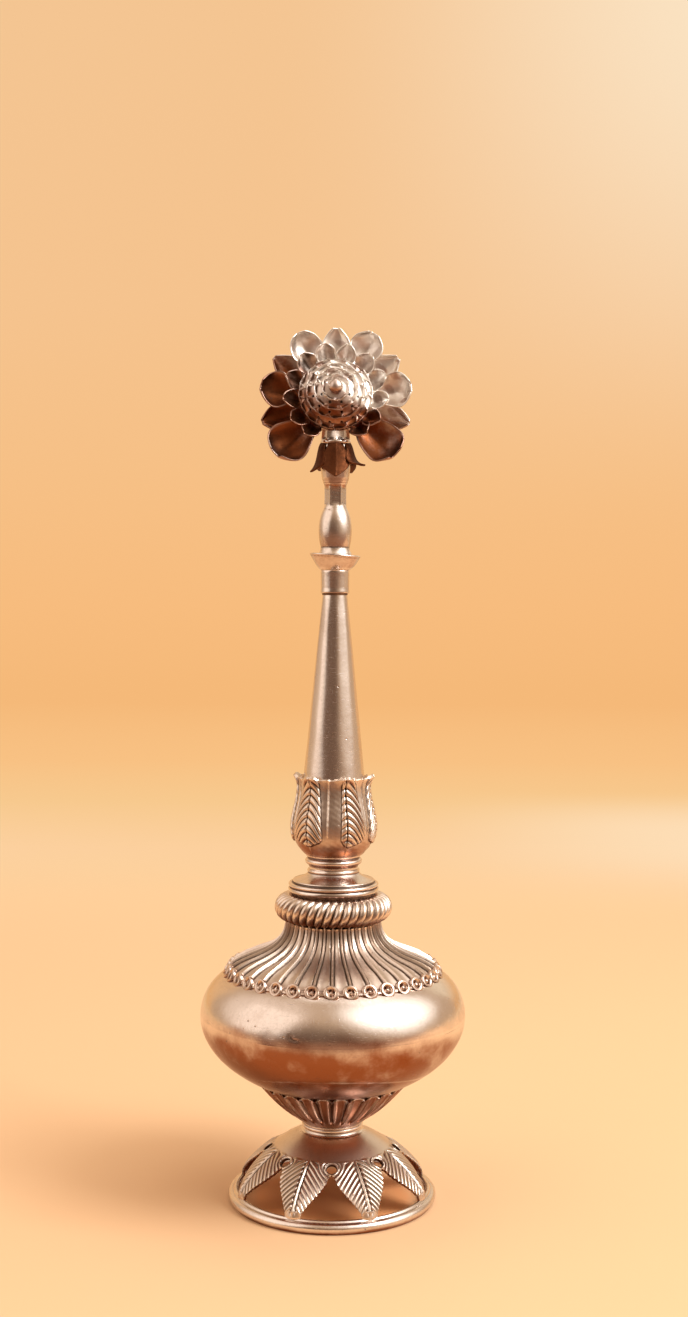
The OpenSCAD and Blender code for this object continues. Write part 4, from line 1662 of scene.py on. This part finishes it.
@dataclass
class PetalShape:
    """One kind of petal, in the flower's own frame: outwards, sideways and forwards."""

    path: tuple[Point, Point, Point, Point]
    half: float
    root: float
    widest: float
    blunt: float
    end: float
    cup: float
    curl: float
    thick: float
    along: int = 20
    across: int = 16
    seed: float = 0.0

    def form(self, along: Cloud, across: Cloud) -> Cloud:
        """Shapes one petal that lies along +X.

        Args:
            along: From 0 at the root to 1 at the tip.
            across: From -1 to 1.

        Returns:
            Points in millimetres.
        """
        spot = cubic(self.path, along)
        ahead = cubic(self.path, np.minimum(along + 0.01, 1.01)) - spot
        ahead /= np.linalg.norm(ahead, axis=1)[:, None]
        early = np.clip(along / self.widest, 0, 1)
        grow = self.root + (self.half - self.root) * np.sin(np.pi / 2 * early)
        late = np.clip((along - self.widest) / (1 - self.widest), 0, 1)
        half = np.where(along < self.widest, grow, self.half * (1 - late**self.blunt * (1 - self.end)))
        edge = np.abs(across)
        lift = self.cup * np.sin(np.pi * np.clip(0.1 + 0.78 * along, 0, 1)) * edge**2
        lift += self.curl * late**2 * (1 - 0.3 * edge)
        lift += 0.22 * np.sin(5.0 * across + 7.0 * along + self.seed) * ease(edge + along, 0.9, 1.6)
        lift -= 0.1 * ridge(across, 0.12) * (1 - late)
        side = across * half * (1 - 0.1 * self.cup / self.half * edge**2)
        side += 0.25 * np.sin(9.0 * along + self.seed) * edge**3 * np.sign(across)
        out, front = spot[:, 0] - ahead[:, 1] * lift, spot[:, 1] + ahead[:, 0] * lift
        return np.stack([out, side, front], axis=1)


@dataclass
class Flower:
    """The flower head, whose middle looks forwards and a little up."""

    shop: Workshop
    centre: tuple[float, float, float] = (0.0, 1.5, 256.0)
    tilt: float = 15.0
    dome_r: float = 11.2
    dome_h: float = 7.0
    rim_w: float = 3.0
    spoon_count: int = 13
    over_stem: int = 6
    frame: Matrix = field(init=False)
    ball: float = field(init=False)

    def __post_init__(self) -> None:
        """Works out the flower's frame and the radius of its domed plate."""
        self.frame = Matrix.Translation(Vector(self.centre) * MM) @ Matrix.Rotation(
            math.radians(90 - self.tilt), 4, "X"
        )
        self.ball = (self.dome_r**2 + self.dome_h**2) / (2 * self.dome_h)

    def dome_w(self, r: float) -> float:
        """How far forward the domed plate lies at a radius."""
        return self.rim_w + self.dome_h - self.ball + math.sqrt(self.ball**2 - r**2)

    def build(self) -> None:
        """Makes the seven pieces."""
        self.chamber()
        self.plate()
        self.knob()
        self.rosette()
        self.spoons()
        self.cupped()
        self.pointed()

    def petal(self, shape: PetalShape, angle: float) -> Piece:
        """Models one petal and turns it into place.

        Args:
            shape: Its kind.
            angle: Its way from the flower's right, anticlockwise, in degrees.

        Returns:
            The petal.
        """
        bench = self.shop.bench
        piece = bench.grid("petal", shape.along, shape.across)
        bench.shape(piece, shape.form)
        bench.thicken(piece, shape.thick, 1)
        piece.data.transform(self.frame @ Matrix.Rotation(math.radians(angle), 4, "Z"))
        return piece

    def gather(self, name: str, pieces: list[Piece]) -> None:
        """Joins petals into the piece that stands for a node.

        Args:
            name: The node.
            pieces: The petals.
        """
        whole = self.shop.bench.join(name, pieces)
        self.shop.bench.heal()
        self.shop.hand_over(
            whole, name, Body.HEAD, Slot.FLOWER, angle=60, reach=0.9, deep=0.13, underside_tarnish_and_shade=0.3
        )
        self.paint_light_shade_and_spots(whole)

    def paint_light_shade_and_spots(self, piece: Piece) -> None:
        """Paints shade on the flower as brown clouds towards its left and below, adds random brown
        spots, and paints light on its upper right by taking darkness out of its hollows there.

        Args:
            piece: A piece of the flower, handed over already.
        """
        bench = self.shop.bench
        xyz = bench.read(piece)
        up = xyz[:, 2] - self.centre[2]
        u = 0.8 * xyz[:, 0] + 0.6 * up + 4.0 * wobble(xyz, 8.0, 0.4)
        # Painted shade: brown towards the left and below, away from the light at the upper right.
        left = 0.78 * ease(-u, -4.0, 11.0)
        below = 0.8 * ease(-up - 0.3 * np.abs(xyz[:, 0] - 1.0), -2.5, 3.0)
        spots = 0.5 * ease(wobble(xyz, 6.5, 2.1), 0.15, 0.6)
        bench.store_more(piece, "patina_and_shade", np.maximum.reduce([left, below, spots]))
        # Painted light: the hollows at the upper right lose their darkness.
        painted_light_upper_right = 1.0 - 0.45 * ease(u, -4.0, 10.0)
        bench.store(piece, "hollow", bench.stored(piece, "hollow") * painted_light_upper_right)

    def chamber(self) -> None:
        """The hollow back of the flower with its tube."""
        bench = self.shop.bench
        section = (
            Outline((0.0, -6.5)).curve((8.5, -6.4), (11.5, -2.4), (11.5, 3.0), 28)
            .to((10.5, 3.0)).curve((10.5, -2.0), (7.8, -5.4), (0.0, -5.5), 14)
        )
        piece = bench.lathe("rose_chamber", section, 128)
        bench.relief(piece, (0.5, -0.8), lambda at: -0.03 - 0.03 * wobble(at.xyz, 4.0, 0.8))
        piece.data.transform(self.frame)
        stub = bench.rod("stub", 4.4, 4.0, Matrix.Translation((0, 0, 248.5 * MM)), 64)
        bench.cut(piece, stub, Solid.ADD)
        bore = bench.rod("bore", 1.7, 8.0, Matrix.Translation((0, 0, 249.5 * MM)), 32)
        bench.cut(piece, bore)
        self.shop.hand_over(piece, "rose_chamber", Body.HEAD, Slot.FLOWER, reach=0.8)
        self.paint_light_shade_and_spots(piece)

    def plate(self) -> None:
        """The domed plate, pierced with the sprinkling holes."""
        bench = self.shop.bench
        radii = np.linspace(0.0, self.dome_r, 24)
        section = Outline(*[(r, self.dome_w(r)) for r in radii])
        section.to(*[(r, self.dome_w(r) - 0.8) for r in radii[::-1] if r < self.dome_r - 0.6])
        piece = bench.lathe("rose_plate", section, 128)
        middle = Matrix.Translation((0, 0, (self.rim_w + self.dome_h - self.ball) * MM))
        drills = []
        for radius, count in ((4.7, 8), (7.3, 12), (9.7, 16)):
            leant = middle @ Matrix.Rotation(math.asin(radius / self.ball), 4, "Y")
            place = leant @ Matrix.Translation((0, 0, self.ball * MM))
            drill = bench.rod("drill", 0.45, 3.0, place, 12)
            drills += bench.ring(drill, count, 180.0 / count)
        bench.cut(piece, bench.join("drills", drills))
        piece.data.transform(self.frame)
        self.shop.hand_over(piece, "rose_plate", Body.HEAD, Slot.FLOWER)
        self.paint_light_shade_and_spots(piece)

    def knob(self) -> None:
        """The boss in the middle."""
        bench = self.shop.bench
        w = self.dome_w(0.0)
        section = Outline((0.0, w), (1.7, w)).arc((0.0, w + 1.3), 2.3, -28, 90, 18)
        section.points[-1] = (0.0, w + 3.6)
        piece = bench.lathe("flower_knob", section, 64)
        bench.relief(
            piece, (0.6, 0.8), lambda at: -0.08 - 0.08 * wobble(at.xyz, 2.6, 0.5)
        )
        piece.data.transform(self.frame)
        self.shop.hand_over(piece, "flower_knob", Body.HEAD, Slot.FLOWER, reach=0.7, underside_tarnish_and_shade=1.0)
        self.paint_light_shade_and_spots(piece)
        bench.store_more(piece, "patina_and_shade", 0.5)

    def scale_petal(
        self, root_r: float, lip_r: float, lift: float, count: int, seed: float
    ) -> PetalShape:
        """Designs a small petal of the rosette.

        Args:
            root_r: Radius of its root.
            lip_r: Radius of its lip.
            lift: How far the lip stands off the domed plate.
            count: Petals in its ring.
            seed: Shifts its unevenness.

        Returns:
            Its shape.
        """
        root_w = self.dome_w(root_r) - 0.4
        lip_w = self.dome_w(min(lip_r, self.dome_r)) + lift
        root = ((root_r - 0.3, root_w), (root_r + 1.0, root_w + 0.1))
        lip = ((lip_r - 0.5, lip_w - 1.2), (lip_r, lip_w))
        return PetalShape(
            path=(*root, *lip),
            half=math.pi * lip_r / count * 1.4, root=math.pi * root_r / count * 1.1, widest=0.7,
            blunt=3.2, end=0.45, cup=0.5, curl=-0.12, thick=0.36, along=9, across=9, seed=seed,
        )

    def rosette(self) -> None:
        """Four rings of small round petals that overlap their neighbours."""
        pieces = []
        rings = ((6, 2.5, 4.0, 1.25), (9, 4.9, 6.7, 1.5), (12, 7.3, 9.1, 1.8), (15, 9.6, 11.5, 2.2))
        for row, (count, root_r, lip_r, lift) in enumerate(rings):
            for i in range(count):
                wave = math.sin(2.3 * i + 1.9 * row)
                shape = self.scale_petal(root_r, lip_r + 0.12 * wave, lift + 0.15 * wave, count, i + row)
                pieces.append(self.petal(shape, 360 * (i + 0.5 * (row % 2)) / count + 2.5 * wave))
        self.gather("rosette_rings", pieces)

    def spoons(self) -> None:
        """Small spoons round the rosette, all but over the stem."""
        pieces = []
        for i in range(self.spoon_count):
            if i == self.over_stem:
                continue
            wave = math.sin(1.9 * i + 0.4)
            aside = {self.over_stem - 1: -6.0, self.over_stem + 1: 6.0}.get(i, 0.0)
            shape = PetalShape(
                path=((11.0, 2.0), (13.2, 1.8), (14.8, 3.6 + 0.2 * wave), (16.9, 6.1 + 0.4 * wave)),
                half=3.3 + 0.15 * wave, root=1.9, widest=0.6, blunt=2.8, end=0.3, cup=2.0, curl=0.35,
                thick=0.45, along=14, across=12, seed=i * 1.3,
            )
            pieces.append(self.petal(shape, 90 + (i + 0.5) * 360 / self.spoon_count + aside))
        self.gather("spoon_petals", pieces)

    def cupped(self) -> None:
        """The large cupped petals, in pairs from top to bottom."""
        pieces = []
        for angle, half, tip in ((30.0, 5.4, 25.1), (83.0, 6.1, 24.8), (136.0, 7.0, 27.9)):
            for side in (-1, 1):
                shape = PetalShape(
                    path=((11.0, 0.2), (16.0, -1.4), (tip - 4.3, -1.0), (tip, 2.6)),
                    half=half, root=2.3, widest=0.64, blunt=2.8, end=0.34, cup=3.8, curl=1.5, thick=0.55,
                    along=24, across=20, seed=angle * 0.1 + side,
                )
                pieces.append(self.petal(shape, 90 + side * angle))
        self.gather("cupped_petals", pieces)

    def pointed(self) -> None:
        """The pointed petals behind, one in each gap between the cupped ones."""
        pieces = []
        for angle in (-108.0, -54.0, 0.0, 54.0, 108.0):
            shape = PetalShape(
                path=((11.0, -1.6), (15.0, -3.4), (20.0, -2.8), (24.7, -0.6)),
                half=5.1, root=2.2, widest=0.52, blunt=1.9, end=0.14, cup=1.7, curl=0.4, thick=0.55,
                along=20, across=16, seed=angle * 0.07,
            )
            pieces.append(self.petal(shape, 90 + angle))
        self.gather("pointed_petals", pieces)


# ---- studio ----


@dataclass
class Studio:
    """Floor and backdrop, soft lamps, world and camera."""

    floor_tone: Colour = (0.85, 0.565, 0.325)
    painted_foot_shade_tone: Colour = (0.98, 0.43, 0.17)
    front_dark_tone: Colour = (0.27, 0.13, 0.07)
    far_y: float = 2.3
    sweep_r: float = 0.7
    camera_at: tuple[float, float, float] = (0.003, -0.526, 0.1956)
    pitch: float = -2.37
    roll: float = 0.3
    lens: float = 45.16

    def build(self) -> None:
        """Sets the stage."""
        self.backdrop()
        self.lamps()
        self.world()
        self.camera()

    def backdrop(self) -> None:
        """A sheet that lies on the floor and sweeps up behind the object."""
        bench = Bench()
        bench.clear()
        bpy.ops.mesh.primitive_plane_add(size=6.0, location=(0.0, self.far_y - 3.0, 0.0))
        sheet = bench.settle(bpy.context.object, "backdrop")
        bpy.ops.object.mode_set(mode="EDIT")
        bpy.ops.mesh.select_all(action="DESELECT")
        bpy.ops.object.mode_set(mode="OBJECT")
        for edge in sheet.data.edges:
            edge.select = all(sheet.data.vertices[v].co.y > self.far_y - 0.1 for v in edge.vertices)
        bpy.ops.object.mode_set(mode="EDIT")
        bpy.ops.mesh.select_mode(type="EDGE")
        steps = 12
        bend = 90.0 / steps
        chord = 2 * self.sweep_r * math.sin(math.radians(bend / 2))
        for turn in range(steps):
            a = math.radians(turn * bend + bend / 2)
            move = (0.0, chord * math.cos(a), chord * math.sin(a))
            bpy.ops.mesh.extrude_region_move(TRANSFORM_OT_translate={"value": move})
        bpy.ops.mesh.extrude_region_move(TRANSFORM_OT_translate={"value": (0.0, 0.0, 1.8)})
        bpy.ops.mesh.select_all(action="SELECT")
        bpy.ops.mesh.normals_make_consistent(inside=False)
        bpy.ops.object.mode_set(mode="OBJECT")
        bpy.ops.object.shade_smooth_by_angle(angle=math.radians(30))
        sheet.data.materials.append(self.paper())

    def paper(self) -> bpy.types.Material:
        """Peach paper: lit by the lamps near the object, with painted shade under the foot and a floor
        that turns dark in front; further off it glows with painted light, darker further back, with a
        lighter painted patch on the right of the floor and a lighter upper right corner of the wall.

        Returns:
            The material.
        """
        material = bpy.data.materials.new("peach_paper")
        material.use_nodes = True
        sketch = Sketch(material.node_tree)
        place = sketch.node("ShaderNodeTexCoord", output="Object")
        side, depth, height = (
            sketch.node("ShaderNodeSeparateXYZ", {}, {0: place}, axis) for axis in ("X", "Y", "Z")
        )
        # Painted light: the far floor glows darker further back.
        floor = sketch.ramp(
            depth * (1.0 / self.far_y),
            (0.22, on_screen(253, 213, 160)), (0.31, on_screen(252, 208, 158)),
            (0.43, on_screen(247, 201, 142)), (0.59, on_screen(248, 193, 131)),
            (1.0, on_screen(245, 185, 121)),
        )
        # Painted light: the wall glows a little lighter higher up.
        wall = sketch.ramp(
            height * (1.0 / 1.5),
            (0.0, on_screen(245, 185, 121)), (0.11, on_screen(247, 188, 126)),
            (0.3, on_screen(246, 192, 134)), (0.53, on_screen(245, 195, 142)),
            (0.93, on_screen(244, 197, 146)),
        )
        # Painted light: the upper right corner of the wall glows lighter.
        corner = sketch.between(side, -0.2, 0.9) * sketch.between(height, 0.3, 1.5)
        wall = sketch.blend(corner, wall, on_screen(251, 228, 196))
        # Painted light: a lighter patch glows on the right of the floor.
        pale = sketch.between(side, 0.02, 0.3) * sketch.between(depth, 0.42, 0.7)
        pale = pale * sketch.between(depth, 1.1, 0.8)
        floor = sketch.blend(pale * 0.9, floor, on_screen(254, 223, 184))
        tone = sketch.blend(sketch.between(height, 0.0, 0.06), floor, wall)
        away = sketch.node("ShaderNodeVectorMath", {"operation": "LENGTH"}, {0: place}, "Value")
        # Painted shade: the floor turns a deeper orange under and round the foot.
        ground = sketch.blend(sketch.between(away, 0.031, 0.022), self.floor_tone, self.painted_foot_shade_tone)
        # The floor turns dark in front of the object, out of view.
        ground = sketch.blend(sketch.between(depth, -0.11, -0.26), ground, self.front_dark_tone)
        lit = sketch.node("ShaderNodeBsdfPrincipled", {}, {"Base Color": ground, "Roughness": 0.9})
        # Painted light: camera, glossy and transmission rays see the far paper glowing with these
        # colours.
        own = sketch.node("ShaderNodeEmission", {}, {"Color": tone, "Strength": 1.0})
        ray = [sketch.node("ShaderNodeLightPath", output=f"Is {kind} Ray")
               for kind in ("Camera", "Glossy", "Transmission")]
        seen = (ray[0] + ray[1] + ray[2]) * sketch.between(depth, 0.22, 0.75)
        both = sketch.node("ShaderNodeMixShader", {}, {0: seen, 1: lit, 2: own})
        sketch.node("ShaderNodeOutputMaterial", {}, {"Surface": both})
        return material

    def lamps(self) -> None:
        """A strong soft lamp at the right, a weaker one at the left and a wide one above."""
        for name, spot, size, power, tone in (
            ("right", (0.75, -0.35, 0.85), 0.5, 8.0, (1.0, 0.97, 0.94)),
            ("left", (-0.85, -0.35, 0.6), 1.0, 1.1, (1.0, 0.93, 0.86)),
            ("top", (0.15, 0.5, 1.5), 1.0, 2.4, (1.0, 0.97, 0.93)),
        ):
            bpy.ops.object.light_add(type="AREA", location=spot)
            lamp = bpy.context.object
            lamp.name = name + "_softbox"
            lamp.data.shape = "SQUARE"
            lamp.data.size = size
            lamp.data.energy = power
            lamp.data.color = tone
            aim = Vector((0.0, 0.0, 0.12)) - Vector(spot)
            lamp.rotation_euler = aim.to_track_quat("-Z", "Y").to_euler()

    def world(self) -> None:
        """A warm room with a large pale window high at each side, dim where the camera stands."""
        world = bpy.data.worlds.new("room")
        world.use_nodes = True
        sketch = Sketch(world.node_tree)
        toward = sketch.node("ShaderNodeTexCoord", output="Generated")

        def facing(way: Colour, low: float, high: float) -> Shade:
            """How much a direction looks the given way, from 0 at low to 1 at high."""
            sockets = {0: toward, 1: tuple(Vector(way).normalized())}
            dot = sketch.node("ShaderNodeVectorMath", {"operation": "DOT_PRODUCT"}, sockets, "Value")
            return sketch.between(dot, low, high)

        room, dim = (0.62, 0.42, 0.265), (0.15, 0.085, 0.055)
        left_window, right_window = (0.98, 0.76, 0.6), (1.7, 1.55, 1.4)
        tone = sketch.blend(facing((-0.3, -0.85, -0.38), 0.3, 0.9), room, dim)
        tone = sketch.blend(facing((-0.8, -0.15, 0.6), 0.72, 0.86), tone, left_window)
        tone = sketch.blend(facing((0.68, -0.24, 0.7), 0.7, 0.92), tone, right_window)
        light = sketch.node("ShaderNodeBackground", {}, {"Color": tone, "Strength": 1.0})
        sketch.node("ShaderNodeOutputWorld", {}, {"Surface": light})
        bpy.context.scene.world = world

    def camera(self) -> None:
        """The camera at the photograph's place and angle."""
        bpy.ops.object.camera_add()
        camera = bpy.context.object
        camera.name = "view_from_front"
        camera.data.sensor_width = 36.0
        camera.data.lens = self.lens
        camera.data.clip_start = 0.01
        camera.matrix_world = (
            Matrix.Translation(self.camera_at)
            @ Matrix.Rotation(math.radians(90 + self.pitch), 4, "X")
            @ Matrix.Rotation(math.radians(self.roll), 4, "Z")
        )
        scene = bpy.context.scene
        scene.camera = camera
        scene.view_settings.view_transform = "Standard"


def main() -> None:
    """Builds the object on its frame, then the studio."""
    logging.basicConfig(level=logging.INFO, format="%(name)s: %(message)s")
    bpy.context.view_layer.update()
    shop = Workshop(Bench(), Palette())
    for assembly in (Foot, Flask, Shoulder, Mouth, NeckBase, NeckTube, Head, Flower):
        assembly(shop).build()
        LOG.info("%s is done", assembly.__name__)
    Studio().build()


if __name__ == "__main__":
    main()
